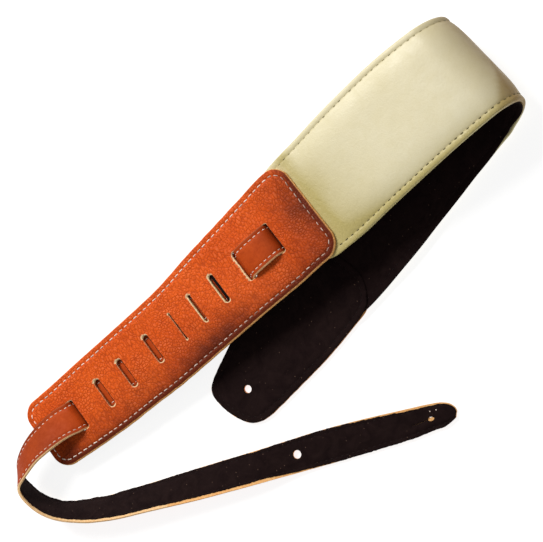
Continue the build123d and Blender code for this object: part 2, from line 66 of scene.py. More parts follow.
TOP_Z = [(-225, 12.5), (-218, 13), (-193, 14), (-142, 17), (-91, 20), (-38, 24), (14, 28), (34, 29.6),
         (60, 32.2), (76, 34.4), (98, 38), (119, 41.6), (140, 45), (158, 47.6), (172, 49.4), (182, 50.2),
         (195, 50.2)]
EDGE_L = [(-225, 41.6), (-205, 41.7), (-192, 41.2), (-155, 41.0), (-118, 40.5), (-95, 40.3), (-71, 40.6),
          (-60, 41.3), (-48, 42.8), (-37, 43.9), (-25, 44.7), (-14, 45.4), (-3, 46.1), (8, 47.1), (19, 47.9),
          (30, 48.4), (60, 49.0)]
EDGE_R = [(-225, -13.0), (-212, -14.6), (-198, -16.4), (-185, -18.0), (-173, -19.3), (-161, -20.5),
          (-149, -21.6), (-125, -22.6), (-113, -23.5), (-101, -24.4), (-66, -24.9), (-32, -25.3), (-9, -25.7),
          (13, -26.6), (34, -26.8), (60, -27.4)]
PAD_L = [(38, 49.4), (52, 50.2), (63, 50.9), (74, 51.6), (85, 52.1), (95, 52.7), (106, 53.1), (137, 53.2),
         (148, 53.0), (158, 52.6), (168, 51.9), (178, 51.0), (188, 50.2)]
PAD_R = [(38, -28.4), (56, -29.2), (67, -29.7), (78, -29.9), (99, -29.3), (150, -29.1), (180, -29.5),
         (190, -29.7)]
STRAP_C = [(-182, 10.9), (-153, 10.0), (-100, 10.2), (-54, 10.2), (-6, 10.5), (22, 10.2), (52, 10.3)]
REAR_DIR = (-0.9789, -0.2045)
REAR_B = [(194.5, -37.2), (184, -39.1), (170, -41.8), (156, -44.3), (142, -47.4), (128, -50.3), (114, -53.1),
          (102, -55.8), (90, -58.2), (82, -59.6), (75, -60.8), (69, -61.8), (62, -62.9), (52, -64.4), (40, -65.7),
          (31, -66.0)]
REAR_W = [80.5, 81.0, 81.5, 82.0, 82.0, 81.8, 81.5, 81.0, 80.5, 79.8, 79.3, 78.9, 78.2, 78.1, 77.9, 76.8]
REAR_Z = [0.5] * 8 + [0.7, 1.1, 1.7, 2.1, 2.3, 2.3, 2.3, 2.3]
REAR_F = [1.0] * 9 + [0.85, 0.6, 0.35, 0.06, 0.06, 0.06, 0.06]
TAB_O, TAB_E1, TAB_E2 = (46.4, -23.2), (-0.9636, -0.2672), (-0.2672, 0.9636)
TAB_L = [(0, 15.0), (1, 21.5), (4.6, 28.3), (8.5, 32.8), (13, 36.3), (20.5, 39.0), (26, 39.2), (34, 38.4),
         (50, 36.4), (66, 34.2), (82, 32.0), (97.6, 30.0), (112, 27.9), (122, 26.4), (129.1, 25.2), (133.5, 23.4),
         (136.1, 21.4), (138, 18.0), (139.2, 13.5), (139.9, 8.5), (140.1, 5.0)]
TAB_R = [(0, 16.2), (1, 22.0), (4.6, 28.3), (8.5, 33.0), (13, 36.7), (20.5, 39.4), (26, 39.2), (34, 38.4),
         (50, 37.2), (66, 35.4), (82, 32.6), (97.6, 29.8), (112, 27.2), (122, 25.1), (129.1, 22.6), (133.5, 19.2),
         (136.1, 16.1), (138, 11.5), (139.2, 6.5), (139.9, 1.5), (140.1, -1.5)]
WEAVE = [(50, -5.4), (38, -5.3), (31, -4.9), (27.4, -4.5), (25.4, -3.9), (24.1, -2.2), (23.0, 0.4), (21.6, 2.4),
         (18.8, 3.7), (14.0, 4.5), (8.5, 4.8), (3.0, 4.5), (-1.8, 3.7), (-4.9, 2.4), (-6.3, 0.4), (-7.4, -2.2),
         (-8.7, -3.6), (-10.8, -3.75), (-15, -3.7), (-40, -3.6), (-65, -3.6), (-90, -3.6), (-115, -3.6), (-140, -3.6),
         (-160, -3.6), (-170.8, -3.7), (-175.8, -3.9), (-178.5, -3.6), (-180.0, -2.2), (-181.1, 0.4), (-182.4, 2.6),
         (-184.6, 4.0)]
CURL = [
    (-190.9, 0.4, 21.8, -190.9, 24.5, 18.4), (-199.2, 1.7, 24.5, -200.6, 25.2, 18.3),
    (-207.2, 2.0, 27.0, -209.9, 24.7, 18.4), (-214.9, 1.9, 29.2, -218.8, 23.7, 18.4),
    (-222.7, 1.6, 31.0, -227.6, 21.8, 18.2), (-230.7, -0.3, 32.1, -236.3, 18.6, 17.2),
    (-239.2, -2.4, 32.7, -244.7, 14.1, 15.2), (-247.9, -5.1, 32.3, -250.5, 7.1, 12.0),
    (-250.7, -13.7, 29.7, -250.8, -2.3, 8.2), (-250.0, -23.6, 26.7, -249.3, -12.6, 4.9),
    (-246.1, -34.1, 24.0, -244.6, -23.2, 2.2), (-239.1, -43.5, 22.0, -236.5, -32.1, 0.6),
    (-230.6, -51.2, 20.4, -226.5, -38.3, 0.1), (-222.1, -57.9, 19.2, -216.7, -43.4, 0.1),
    (-213.3, -63.1, 18.3, -207.6, -48.2, 0.1), (-205.0, -67.9, 17.4, -198.7, -51.8, 0.1),
    (-196.5, -71.8, 16.8, -190.0, -55.2, 0.0), (-188.1, -75.5, 16.3, -181.4, -58.5, 0.1),
    (-179.7, -79.2, 15.8, -173.0, -61.8, 0.1), (-171.5, -82.9, 15.1, -164.5, -65.0, 0.1),
    (-163.2, -86.7, 14.2, -155.9, -68.2, 0.1), (-154.7, -90.6, 13.2, -147.2, -71.4, 0.0),
    (-146.0, -94.5, 12.3, -138.2, -74.8, 0.0), (-136.9, -98.4, 11.5, -128.9, -78.3, 0.0),
    (-127.4, -102.3, 10.9, -119.4, -81.9, 0.0), (-117.8, -106.3, 10.2, -109.7, -85.7, 0.0),
    (-108.2, -110.3, 9.2, -99.9, -89.4, 0.0), (-98.8, -114.1, 7.7, -90.3, -93.0, 0.0),
    (-89.9, -117.6, 5.4, -81.1, -96.3, 0.3), (-78.6, -122.3, 2.8, -69.8, -100.2, 0.7),
    (-67.4, -126.7, 1.1, -58.4, -104.3, 0.7), (-56.3, -131.2, 0.4, -47.2, -108.5, 0.4),
    (-45.1, -135.7, 0.1, -36.0, -113.0, 0.1), (-33.9, -140.0, 0.0, -25.0, -117.8, 0.0),
    (-22.7, -144.3, 0.0, -14.1, -122.6, 0.0), (-11.5, -148.5, 0.0, -3.1, -127.6, 0.0),
    (-0.3, -152.9, 0.0, 7.8, -132.7, 0.0), (11.1, -156.7, 0.0, 18.7, -137.8, 0.0),
    (24.9, -160.7, 0.0, 31.6, -143.9, 0.0), (30.4, -162.7, 0.0, 37.9, -147.2, 0.0),
    (35.0, -163.0, 0.0, 41.7, -150.3, 0.0), (39.3, -162.8, 0.0, 44.3, -153.8, 0.0),
    (41.9, -162.5, 0.0, 45.1, -157.4, 0.0)]
TAIL_HOLE, TIP_HOLE, HOLE_R = (-66.2, -113.5), (26.9, -152.6), 3.0


# ---- curves through the tables --------------------------------------------
def pchip(xs, ys, q):
    """Smooth curve through the points that doesn't overshoot them."""
    xs, ys = np.asarray(xs, float), np.asarray(ys, float)
    h = np.diff(xs)
    d = np.diff(ys) / h
    m = np.zeros(len(xs))
    m[0], m[-1] = d[0], d[-1]
    for i in range(1, len(xs) - 1):
        if d[i - 1] * d[i] > 0:
            w1, w2 = 2 * h[i] + h[i - 1], h[i] + 2 * h[i - 1]
            m[i] = (w1 + w2) / (w1 / d[i - 1] + w2 / d[i])
    q = np.asarray(q, float)
    i = np.clip(np.searchsorted(xs, q) - 1, 0, len(h) - 1)
    t = (q - xs[i]) / h[i]
    t = np.clip(t, -3, 4)
    lo, hi = q < xs[0], q > xs[-1]
    y = ((1 + 2 * t) * (1 - t) ** 2 * ys[i] + t * (1 - t) ** 2 * h[i] * m[i]
         + t * t * (3 - 2 * t) * ys[i + 1] + t * t * (t - 1) * h[i] * m[i + 1])
    y = np.where(lo, ys[0] + (q - xs[0]) * m[0], y)
    return np.where(hi, ys[-1] + (q - xs[-1]) * m[-1], y)


def gauss(a, sigma):
    """Gaussian smoothing along the first axis, ends held by odd reflection."""
    if sigma <= 0:
        return a
    r = int(min(4 * sigma, len(a) - 1)) or 1
    k = np.exp(-0.5 * (np.arange(-r, r + 1) / sigma) ** 2)
    k /= k.sum()
    a = np.asarray(a, float)
    flat = a.reshape(len(a), -1)
    pad = np.vstack([2 * flat[0] - flat[r:0:-1], flat, 2 * flat[-1] - flat[-2:-r - 2:-1]])
    out = np.stack([np.convolve(pad[:, c], k, "valid") for c in range(flat.shape[1])], 1)
    return out.reshape(a.shape)


class Line:
    """A table as a smooth function of x, sampled every millimetre."""

    def __init__(self, tab, sigma=6.0):
        xs, ys = zip(*tab)
        self.x = np.arange(xs[0] - 30.0, xs[-1] + 30.0, 1.0)
        self.y = gauss(pchip(xs, ys, self.x), sigma)

    def __call__(self, x):
        return np.interp(x, self.x, self.y)


top_z, edge_l, edge_r = Line(TOP_Z, 8.0), Line(EDGE_L, 7.0), Line(EDGE_R, 7.0)
strap_c = Line(STRAP_C, 8.0)


def ramp01(x, a, b):
    t = np.clip((np.asarray(x, float) - a) / (b - a), 0, 1)
    return t * t * (3 - 2 * t)


def lap(x):
    return LAP * np.clip((np.asarray(x, float) - LAP_X0) / LAP_RUN, 0, 1)


def lining_top(x):
    return -LEATHER_T - (COVER_T + FOAM_MIN + BACKING_T + 0.25 - LEATHER_T) * np.clip((np.asarray(x, float) - LAP_X0) / LAP_RUN, 0, 1)


def waves(seed, scale, n=7):
    """Gentle repeatable unevenness in about -1 to 1; scale is the wavelength in mm."""
    rng = random.Random(seed)
    terms = []
    for _ in range(n):
        ang, ph = rng.uniform(0, math.tau), rng.uniform(0, math.tau)
        f = math.tau / (scale * rng.uniform(0.7, 1.6))
        terms.append((f * math.cos(ang), f * math.sin(ang), ph))

    def f(x, y):
        return sum(np.sin(a * x + b * y + c) for a, b, c in terms) / math.sqrt(n) * 0.7
    return f


# ---- flat sheets with real outlines ---------------------------------------
def resample(loop, step):
    loop = np.asarray(loop, float)
    p = np.vstack([loop, loop[:1]])
    s = np.concatenate([[0], np.cumsum(np.linalg.norm(np.diff(p, axis=0), axis=1))])
    n = max(int(round(s[-1] / step)), 12)
    q = np.linspace(0, s[-1], n, endpoint=False)
    return np.stack([np.interp(q, s, p[:, i]) for i in range(p.shape[1])], 1)


def inset(loop, d):
    """Loop moved inwards by d (to the left of a counter-clockwise loop)."""
    t = np.roll(loop, -1, 0) - np.roll(loop, 1, 0)
    t /= np.linalg.norm(t, axis=1)[:, None]
    return loop + np.stack([-t[:, 1], t[:, 0]], 1) * d


def ccw(loop):
    a = np.sum(loop[:, 0] * np.roll(loop[:, 1], -1) - np.roll(loop[:, 0], -1) * loop[:, 1])
    return loop if a > 0 else loop[::-1]


def inside(p, loop):
    x, y = p[:, 0][:, None], p[:, 1][:, None]
    x0, y0 = loop[:, 0][None], loop[:, 1][None]
    x1, y1 = np.roll(loop[:, 0], -1)[None], np.roll(loop[:, 1], -1)[None]
    out = np.zeros(len(p), bool)
    for c in range(0, len(p), 4000):
        s = slice(c, c + 4000)
        hit = ((y0 > y[s]) != (y1 > y[s])) & (x[s] < (x1 - x0) * (y[s] - y0) / (y1 - y0 + 1e-12) + x0)
        out[s] = hit.sum(1) % 2 == 1
    return out


def loop_distance(p, loop):
    """Distance to the loop's line, and the direction of the loop's inward normal there."""
    a, b = loop, np.roll(loop, -1, 0)
    ab = b - a
    ln2 = (ab ** 2).sum(1)
    best, side = np.full(len(p), 1e9), np.zeros((len(p), 2))
    for c in range(0, len(p), 2500):
        q = p[c:c + 2500]
        t = np.clip(((q[:, None] - a[None]) * ab[None]).sum(2) / ln2[None], 0, 1)
        d = np.linalg.norm(q[:, None] - (a[None] + t[..., None] * ab[None]), axis=2)
        i = d.argmin(1)
        best[c:c + 2500] = d[np.arange(len(q)), i]
        n = ab[i] / np.sqrt(ln2[i])[:, None]
        side[c:c + 2500] = np.stack([-n[:, 1], n[:, 0]], 1)
    return best, side


def sheet_mesh(outer, holes, spacing, rings=(0.3, 0.75, 1.4), extra=None):
    """Triangles over a flat outline with holes; the edges get rings of points."""
    outer = ccw(outer)
    holes = [ccw(h) for h in holes]
    pts, edges, loops = [], [], []
    for lp in [outer] + holes:
        b = len(pts)
        pts += [tuple(q) for q in lp]
        edges += [(b + i, b + (i + 1) % len(lp)) for i in range(len(lp))]
        loops.append(list(range(b, b + len(lp))))
    boundary = np.array(pts)
    cand = [inset(outer, r) for r in rings] + [inset(h, -r) for h in holes for r in rings]
    if extra is not None:
        cand.append(extra)
    lo, hi = outer.min(0), outer.max(0)
    rows = np.arange(lo[1], hi[1], spacing * 0.866)
    grid = []
    for j, y in enumerate(rows):
        xs = np.arange(lo[0] + (spacing / 2 if j % 2 else 0), hi[0], spacing)
        grid.append(np.stack([xs, np.full(len(xs), y)], 1))
    grid = np.vstack(grid)

    def keep(p, gap):
        ok = inside(p, outer)
        for h in holes:
            ok &= ~inside(p, h)
        p = p[ok]
        d = np.full(len(p), 1e9)
        for lp in [outer] + holes:
            d = np.minimum(d, loop_distance(p, lp)[0])
        return p[d > gap]

    fixed = [keep(c, 0.2) for c in cand]
    placed = np.vstack(fixed) if fixed else np.zeros((0, 2))
    kd = KDTree(len(placed) + len(boundary) + len(grid))
    chosen = []
    near = [Vector((q[0], q[1], 0)) for q in boundary]
    # thin out points of the rings that crowd one another
    kd_f = KDTree(len(placed))
    for i, q in enumerate(placed):
        kd_f.insert((q[0], q[1], 0), i)
    kd_f.balance()
    dead = set()
    for i, q in enumerate(placed):
        if i in dead:
            continue
        for _, j, _ in kd_f.find_range((q[0], q[1], 0), 0.22):
            if j > i:
                dead.add(j)
    placed = placed[[i for i in range(len(placed)) if i not in dead]]
    kd = KDTree(len(placed) + len(boundary))
    for i, q in enumerate(placed):
        kd.insert((q[0], q[1], 0), i)
    for i, q in enumerate(boundary):
        kd.insert((q[0], q[1], 0), len(placed) + i)
    kd.balance()
    grid = keep(grid, 0.5 * spacing)
    free = [kd.find((q[0], q[1], 0))[2] > 0.62 * spacing for q in grid]
    grid = grid[np.array(free, bool)]
    allp = np.vstack([boundary, placed, grid])
    res = delaunay_2d_cdt([Vector(q) for q in allp], edges, [], 0, 1e-6, True)
    v2 = np.array([tuple(q) for q in res[0]], float)
    faces = np.array([f for f in res[2] if len(f) == 3], int)
    back = {}
    for o, ids in enumerate(res[3]):
        for i in ids:
            back[i] = o
    cen = v2[faces].mean(1)
    ok = inside(cen, outer)
    for h in holes:
        ok &= ~inside(cen, h)
    faces = faces[ok]
    a, b, c = v2[faces[:, 0]], v2[faces[:, 1]], v2[faces[:, 2]]
    area = (b[:, 0] - a[:, 0]) * (c[:, 1] - a[:, 1]) - (b[:, 1] - a[:, 1]) * (c[:, 0] - a[:, 0])
    faces = faces[np.abs(area) > 1e-9]
    area = area[np.abs(area) > 1e-9]
    faces[area < 0] = faces[area < 0][:, ::-1]
    used = np.unique(faces)
    new = np.full(len(v2), -1)
    new[used] = np.arange(len(used))
    loops = [[int(new[back[i]]) for i in lp] for lp in loops]
    return v2[used], new[faces], loops, outer, holes


def solid_sheet(name, shape, place, t_top, t_bot, walls=3, flip=False, raw_top=0.0, raw_bot=1.0, wall_raw=1.0, more=None):
    """Closed solid from a flat mesh: place(u, v, t) puts a point in space; t_top and t_bot
    are per point. Vertex attributes: edge (mm to the cut edge), raw (cut fibre) and more."""
    v2, faces, loops, outer, holes = shape
    n = len(v2)
    one = np.ones(n)
    t_top, t_bot, raw_top, raw_bot = t_top * one, t_bot * one, raw_top * one, raw_bot * one
    d, _ = loop_distance(v2, outer)
    for h in holes:
        d = np.minimum(d, loop_distance(v2, h)[0])
    verts = [place(v2[:, 0], v2[:, 1], t_top), place(v2[:, 0], v2[:, 1], t_bot)]
    at = {"edge": [d, d], "raw": [raw_top, raw_bot]}
    for k, val in (more or {}).items():
        at[k] = [val * one, val * one]
    polys = [tuple(int(i) for i in f) for f in faces] + [tuple(int(i) + n for i in f[::-1]) for f in faces]
    base = 2 * n
    rng = random.Random(7)
    for k, lp in enumerate(loops):
        lp = np.array(lp)
        m = len(lp)
        prev = lp
        strips = []
        for r in range(1, walls):
            f = r / walls
            wob = np.array([rng.uniform(-0.05, 0.05) for _ in range(m)])
            verts.append(place(v2[lp, 0], v2[lp, 1], t_top[lp] * (1 - f) + t_bot[lp] * f + wob))
            at["edge"].append(np.zeros(m))
            at["raw"].append((wall_raw * one)[lp])
            for kk, val in (more or {}).items():
                at[kk].append((val * one)[lp])
            cur = np.arange(base, base + m)
            base += m
            strips.append((prev, cur))
            prev = cur
        strips.append((prev, lp + n))
        for pr, cu in strips:
            q = np.stack([pr, cu, np.roll(cu, -1), np.roll(pr, -1)], 1)
            if k > 0:
                q = q[:, ::-1]
            polys += [tuple(int(i) for i in f) for f in q]
    if flip:
        polys = [f[::-1] for f in polys]
    return make(name, np.vstack(verts), polys, {k: np.concatenate(v) for k, v in at.items()})


def make(name, verts_mm, polys, attrs=None, sharp=50.0):
    """Mesh object in metres in the row frame from millimetre points."""
    me = bpy.data.meshes.new(name)
    co = (np.asarray(verts_mm, float) - ORIGIN) / 1000.0
    me.from_pydata([tuple(p) for p in co], [], polys)
    me.validate(clean_customdata=False)
    for k, val in (attrs or {}).items():
        at = me.attributes.new(k, "FLOAT", "POINT")
        at.data.foreach_set("value", np.asarray(val, np.float32))
    me.polygons.foreach_set("use_smooth", [True] * len(me.polygons))
    me.update()
    if sharp:
        me.set_sharp_from_angle(angle=math.radians(sharp))
    ob = bpy.data.objects.new(name, me)
    bpy.context.scene.collection.objects.link(ob)
    return ob


def bevel_profile(d, depth, width):
    """How far the face drops towards a cut edge, for the distance d from it."""
    x = np.clip(1 - d / width, 0, 1)
    return -depth * (1 - np.sqrt(np.clip(1 - x * x, 0, 1)))


# ---- stitches ---------------------------------------------------------------
def along(path, closed, extra=()):
    p = np.vstack([path, path[:1]]) if closed else path
    s = np.concatenate([[0], np.cumsum(np.linalg.norm(np.diff(p, axis=0), axis=1))])
    ex = [np.vstack([e, e[:1]]) if closed else e for e in extra]
    return s, p, ex


def stitch_rows(name, rows, radius=0.36, pitch=4.5, length=3.1, rise=0.2, dip=0.75, slant=0.03, seed=3, worn=None):
    """Short rounded stitches that dive into the leather at both ends.
    rows: list of (points, outward normals, closed)."""
    rng = random.Random(seed)
    verts, polys = [], []
    RINGS, SEG = 9, 8
    base = 0
    tone = []
    for row in rows:
        pts, nrm, closed = row[:3]
        usual = row[3] if len(row) > 3 else length
        s, p, (n,) = along(np.asarray(pts, float), closed, [np.asarray(nrm, float)])
        total = s[-1]
        count = max(int(round(total / pitch)), 1)
        step = total / count
        cs = [(i + 0.5) * step for i in range(count)]
        for c in cs:
            ln = usual * rng.uniform(0.9, 1.06)
            c = c + rng.uniform(-0.12, 0.12)
            off = rng.uniform(-0.08, 0.08)
            ang = slant + rng.uniform(-0.05, 0.05)
            rad = radius * rng.uniform(0.93, 1.08)
            tn = 0.45 * rng.random() ** 2
            sink = 0.1 * rng.random() ** 2
            # the place function moves the tone towards the third thread colour and sinks the stitch; on the panel's
            # right end and lower edge this is painted shade with wear
            if worn is not None:
                mid = [float(np.interp(c, s, p[:, i])) for i in range(3)]
                wear_shade = float(worn(*mid)) * rng.uniform(0.35, 1.0)
                tn = min(tn + 0.85 * wear_shade, 0.95)
                sink += 0.16 * wear_shade
                rad *= 1 - 0.2 * wear_shade
            f = np.linspace(-1, 1, RINGS)
            q = np.clip(c + f * ln / 2, 0, total)
            cen = np.stack([np.interp(q, s, p[:, i]) for i in range(3)], 1)
            nn = np.stack([np.interp(q, s, n[:, i]) for i in range(3)], 1)
            nn /= np.linalg.norm(nn, axis=1)[:, None]
            tt = np.gradient(cen, axis=0)
            tt /= np.maximum(np.linalg.norm(tt, axis=1)[:, None], 1e-9)
            bb = np.cross(tt, nn)
            h = rise - sink - (rise + dip) * np.abs(f) ** 3.2
            cen = cen + nn * h[:, None] + bb * (off + ang * f * ln / 2)[:, None]
            r = rad * np.sqrt(np.clip(1 - np.abs(f) ** 7, 0.12, 1))
            for j in range(RINGS):
                for k in range(SEG):
                    a = math.tau * k / SEG
                    verts.append(cen[j] + bb[j] * math.cos(a) * r[j] + nn[j] * math.sin(a) * r[j] * 0.8)
                    tone.append(tn)
            for j in range(RINGS - 1):
                for k in range(SEG):
                    m = (k + 1) % SEG
                    polys.append((base + j * SEG + k, base + j * SEG + m, base + (j + 1) * SEG + m, base + (j + 1) * SEG + k))
            polys.append(tuple(base + k for k in range(SEG))[::-1])
            polys.append(tuple(base + (RINGS - 1) * SEG + k for k in range(SEG)))
            base += RINGS * SEG
    return make(name, np.array(verts), polys, {"tone": np.array(tone)}, sharp=None)


# ---- materials ----------------------------------------------------------------
def rgb(r, g, b):
    """Linear colour from 0-255 display values."""
    out = []
    for q in (r, g, b):
        q /= 255.0
        out.append(q / 12.92 if q <= 0.04045 else ((q + 0.055) / 1.055) ** 2.4)
    return tuple(out) + (1.0,)


class Mat:
    """A node material with short calls for the nodes used here. Lengths are millimetres."""

    def __init__(self, name, **fixed):
        self.m = bpy.data.materials.new(name)
        self.m.use_nodes = True
        self.t = self.m.node_tree
        self.t.nodes.clear()
        self.out = self.t.nodes.new("ShaderNodeOutputMaterial")
        self.b = self.t.nodes.new("ShaderNodeBsdfPrincipled")
        self.t.links.new(self.b.outputs["BSDF"], self.out.inputs["Surface"])
        for k, v in fixed.items():
            self.b.inputs[k.replace("_", " ")].default_value = v
        tc = self.t.nodes.new("ShaderNodeTexCoord")
        mp = self.t.nodes.new("ShaderNodeMapping")
        mp.inputs["Scale"].default_value = (1000, 1000, 1000)
        self.t.links.new(tc.outputs["Object"], mp.inputs["Vector"])
        self.mm = mp.outputs["Vector"]

    def put(self, sock, val):
        if hasattr(val, "is_linked") or isinstance(val, bpy.types.NodeSocket):
            self.t.links.new(val, sock)
        else:
            sock.default_value = val

    def noise(self, size, detail=3.0, rough=0.55, dist=0.0, vec=None):
        n = self.t.nodes.new("ShaderNodeTexNoise")
        self.put(n.inputs["Vector"], vec or self.mm)
        n.inputs["Scale"].default_value = 1.0 / size
        n.inputs["Detail"].default_value = detail
        n.inputs["Roughness"].default_value = rough
        n.inputs["Distortion"].default_value = dist
        return n.outputs["Fac"], n.outputs["Color"]

    def vor(self, size, feature="F1", vec=None, rnd=1.0, smooth=None):
        n = self.t.nodes.new("ShaderNodeTexVoronoi")
        n.feature = feature
        self.put(n.inputs["Vector"], vec or self.mm)
        n.inputs["Scale"].default_value = 1.0 / size
        n.inputs["Randomness"].default_value = rnd
        if smooth is not None:
            n.inputs["Smoothness"].default_value = smooth
        return n.outputs["Distance"]

    def ramp(self, fac, stops, mode="LINEAR"):
        n = self.t.nodes.new("ShaderNodeValToRGB")
        n.color_ramp.interpolation = mode
        e = n.color_ramp.elements
        while len(e) < len(stops):
            e.new(0.5)
        for el, (p, c) in zip(e, stops):
            el.position = p
            el.color = c if hasattr(c, "__len__") else (c, c, c, 1)
        self.put(n.inputs["Fac"], fac)
        return n.outputs["Color"]

    def mix(self, fac, a, b, blend="MIX"):
        n = self.t.nodes.new("ShaderNodeMix")
        n.data_type = "RGBA"
        n.blend_type = blend
        self.put(n.inputs[0], fac)
        self.put(n.inputs[6], a)
        self.put(n.inputs[7], b)
        return n.outputs[2]

    def math(self, op, a, b=0.0, c=None, clamp=False):
        n = self.t.nodes.new("ShaderNodeMath")
        n.operation = op
        n.use_clamp = clamp
        self.put(n.inputs[0], a)
        self.put(n.inputs[1], b)
        if c is not None:
            self.put(n.inputs[2], c)
        return n.outputs[0]

    def warp(self, size, amount):
        """Coordinates pushed about by noise, so that cells aren't regular."""
        _, col = self.noise(size, 2.0)
        a = self.t.nodes.new("ShaderNodeVectorMath")
        a.operation = "SUBTRACT"
        self.put(a.inputs[0], col)
        a.inputs[1].default_value = (0.5, 0.5, 0.5)
        b = self.t.nodes.new("ShaderNodeVectorMath")
        b.operation = "MULTIPLY_ADD"
        self.put(b.inputs[0], a.outputs[0])
        b.inputs[1].default_value = (amount, amount, amount)
        self.put(b.inputs[2], self.mm)
        return b.outputs[0]

    def attr(self, name):
        n = self.t.nodes.new("ShaderNodeAttribute")
        n.attribute_name = name
        return n.outputs["Fac"]

    def bump(self, height, strength, dist_mm, normal=None):
        n = self.t.nodes.new("ShaderNodeBump")
        n.inputs["Strength"].default_value = strength
        n.inputs["Distance"].default_value = dist_mm / 1000.0
        self.put(n.inputs["Height"], height)
        if normal is not None:
            self.put(n.inputs["Normal"], normal)
        return n.outputs["Normal"]

    def done(self, color, rough, normal=None):
        self.put(self.b.inputs["Base Color"], color)
        self.put(self.b.inputs["Roughness"], rough)
        if normal is not None:
            self.put(self.b.inputs["Normal"], normal)
        return self.m


RAW_LIGHT, RAW_DARK = rgb(248, 200, 132), rgb(220, 146, 74)


def raw_edge(m, color, normal_raw=None):
    """Cut edge of the leather: pale fibre with darker dye soaked in along the face."""
    f, _ = m.noise(1.1, 4.0, 0.7)
    g, _ = m.noise(7.0, 2.0)
    fib = m.mix(m.ramp(f, [(0.3, 0.0), (0.7, 1.0)]), RAW_DARK, RAW_LIGHT)
    fib = m.mix(m.ramp(g, [(0.35, 0.0), (0.75, 0.5)]), fib, rgb(226, 150, 80))
    cut = m.mix(m.ramp(f, [(0.25, 0.0), (0.6, 1.0)]), rgb(222, 172, 112), rgb(250, 226, 182))
    fib = m.mix(m.math("MULTIPLY", m.attr("pale"), 1.0, clamp=True), fib, cut)
    return m.mix(m.math("MULTIPLY", m.attr("raw"), 1.0, clamp=True), color, fib)


def grain_leather(name, tones, cell, wear_and_shade_tone, depth, rough=(0.38, 0.62)):
    """Full-grain leather with pebbles, with painted shade in the creases between them and a painted highlight on their
    tops. tones: valley, body, lit.
    """
    m = Mat(name, Specular_IOR_Level=0.15)
    w = m.warp(4.0, 0.9)
    st = m.t.nodes.new("ShaderNodeMapping")
    st.inputs["Rotation"].default_value = (0, 0, math.radians(-12))
    st.inputs["Scale"].default_value = (1.0, 0.55, 1.0)
    m.t.links.new(w, st.inputs["Vector"])
    w2 = st.outputs["Vector"]
    peb = m.ramp(m.vor(cell, "DISTANCE_TO_EDGE", w), [(0.0, 0.0), (0.12, 0.6), (0.3, 1.0)])
    wrk = m.ramp(m.vor(cell * 0.95, "DISTANCE_TO_EDGE", w2), [(0.0, 0.0), (0.14, 0.55), (0.34, 1.0)])
    fine = m.vor(cell * 0.45, "SMOOTH_F1", w, 1.0, 0.3)
    big, _ = m.noise(34.0, 3.0, 0.55)
    zone, _ = m.noise(22.0, 2.0, 0.5)
    mid, _ = m.noise(6.0, 3.0, 0.6, 0.6)
    pores, _ = m.noise(0.35, 3.0, 0.7)
    zn = m.ramp(zone, [(0.4, 0.0), (0.62, 1.0)])
    peb = m.mix(zn, peb, wrk)
    patch = m.ramp(mid, [(0.4, 0.0), (0.72, 1.0)])
    col = m.mix(m.ramp(big, [(0.3, 0.0), (0.7, 1.0)]), tones[1], tones[2])
    col = m.mix(m.math("MULTIPLY", patch, 0.1), col, tones[0])
    # painted shade in the creases between the pebbles
    val = m.ramp(peb, [(0.0, 1.0), (0.6, 0.0)])
    col = m.mix(m.math("MULTIPLY", val, 0.55), col, tones[0])
    # painted highlight: pale pink on the pebble tops
    pebble_painted_highlight = m.ramp(peb, [(0.72, 0.0), (1.0, 1.0)])
    col = m.mix(m.math("MULTIPLY", pebble_painted_highlight, 0.11), col, rgb(246, 170, 124))
    # darker colour from the attribute: wear, mixed with painted shade
    burn = m.attr("burn")
    col = m.mix(m.math("MULTIPLY", burn, 0.92, clamp=True), col, wear_and_shade_tone)
    col = raw_edge(m, col)
    h = m.math("MULTIPLY_ADD", fine, -0.3, peb)
    h = m.math("MULTIPLY_ADD", pores, 0.15, h)
    soft, _ = m.noise(4.5, 3.0, 0.6)
    n1 = m.bump(soft, 0.5, 0.8)
    n2 = m.bump(h, 1.0, depth, n1)
    r = m.ramp(peb, [(0.2, rough[1]), (0.9, rough[0])])
    r = m.mix(m.attr("raw"), r, (0.85, 0.85, 0.85, 1))
    return m.done(col, r, n2)


def smooth_leather(name, tones, wear_and_shade_tone):
    """Smooth strap leather with fine pores, faint wear lines and waxed sheen."""
    m = Mat(name, Specular_IOR_Level=0.09)
    big, _ = m.noise(16.0, 3.0, 0.6, 0.4)
    mid, _ = m.noise(3.2, 4.0, 0.65, 0.8)
    pores, _ = m.noise(0.4, 3.0, 0.7)
    cr = m.vor(2.2, "DISTANCE_TO_EDGE", m.warp(3.0, 2.4))
    col = m.mix(m.ramp(big, [(0.3, 0.0), (0.72, 1.0)]), tones[0], tones[2])
    col = m.mix(m.ramp(mid, [(0.35, 0.0), (0.8, 0.45)]), col, tones[1])
    # darker colour from the attribute: worn edges, plus a painted shadow where the strap dives under the slots
    col = m.mix(m.math("MULTIPLY", m.attr("burn"), 0.85, clamp=True), col, wear_and_shade_tone)
    col = raw_edge(m, col)
    crl = m.ramp(cr, [(0.0, 0.0), (0.07, 1.0)])
    h = m.math("MULTIPLY_ADD", pores, 0.5, crl)
    n1 = m.bump(mid, 0.35, 0.35)
    n2 = m.bump(h, 0.28, 0.06, n1)
    r = m.ramp(mid, [(0.3, 0.5), (0.75, 0.68)])
    r = m.mix(m.attr("raw"), r, (0.85, 0.85, 0.85, 1))
    return m.done(col, r, n2)


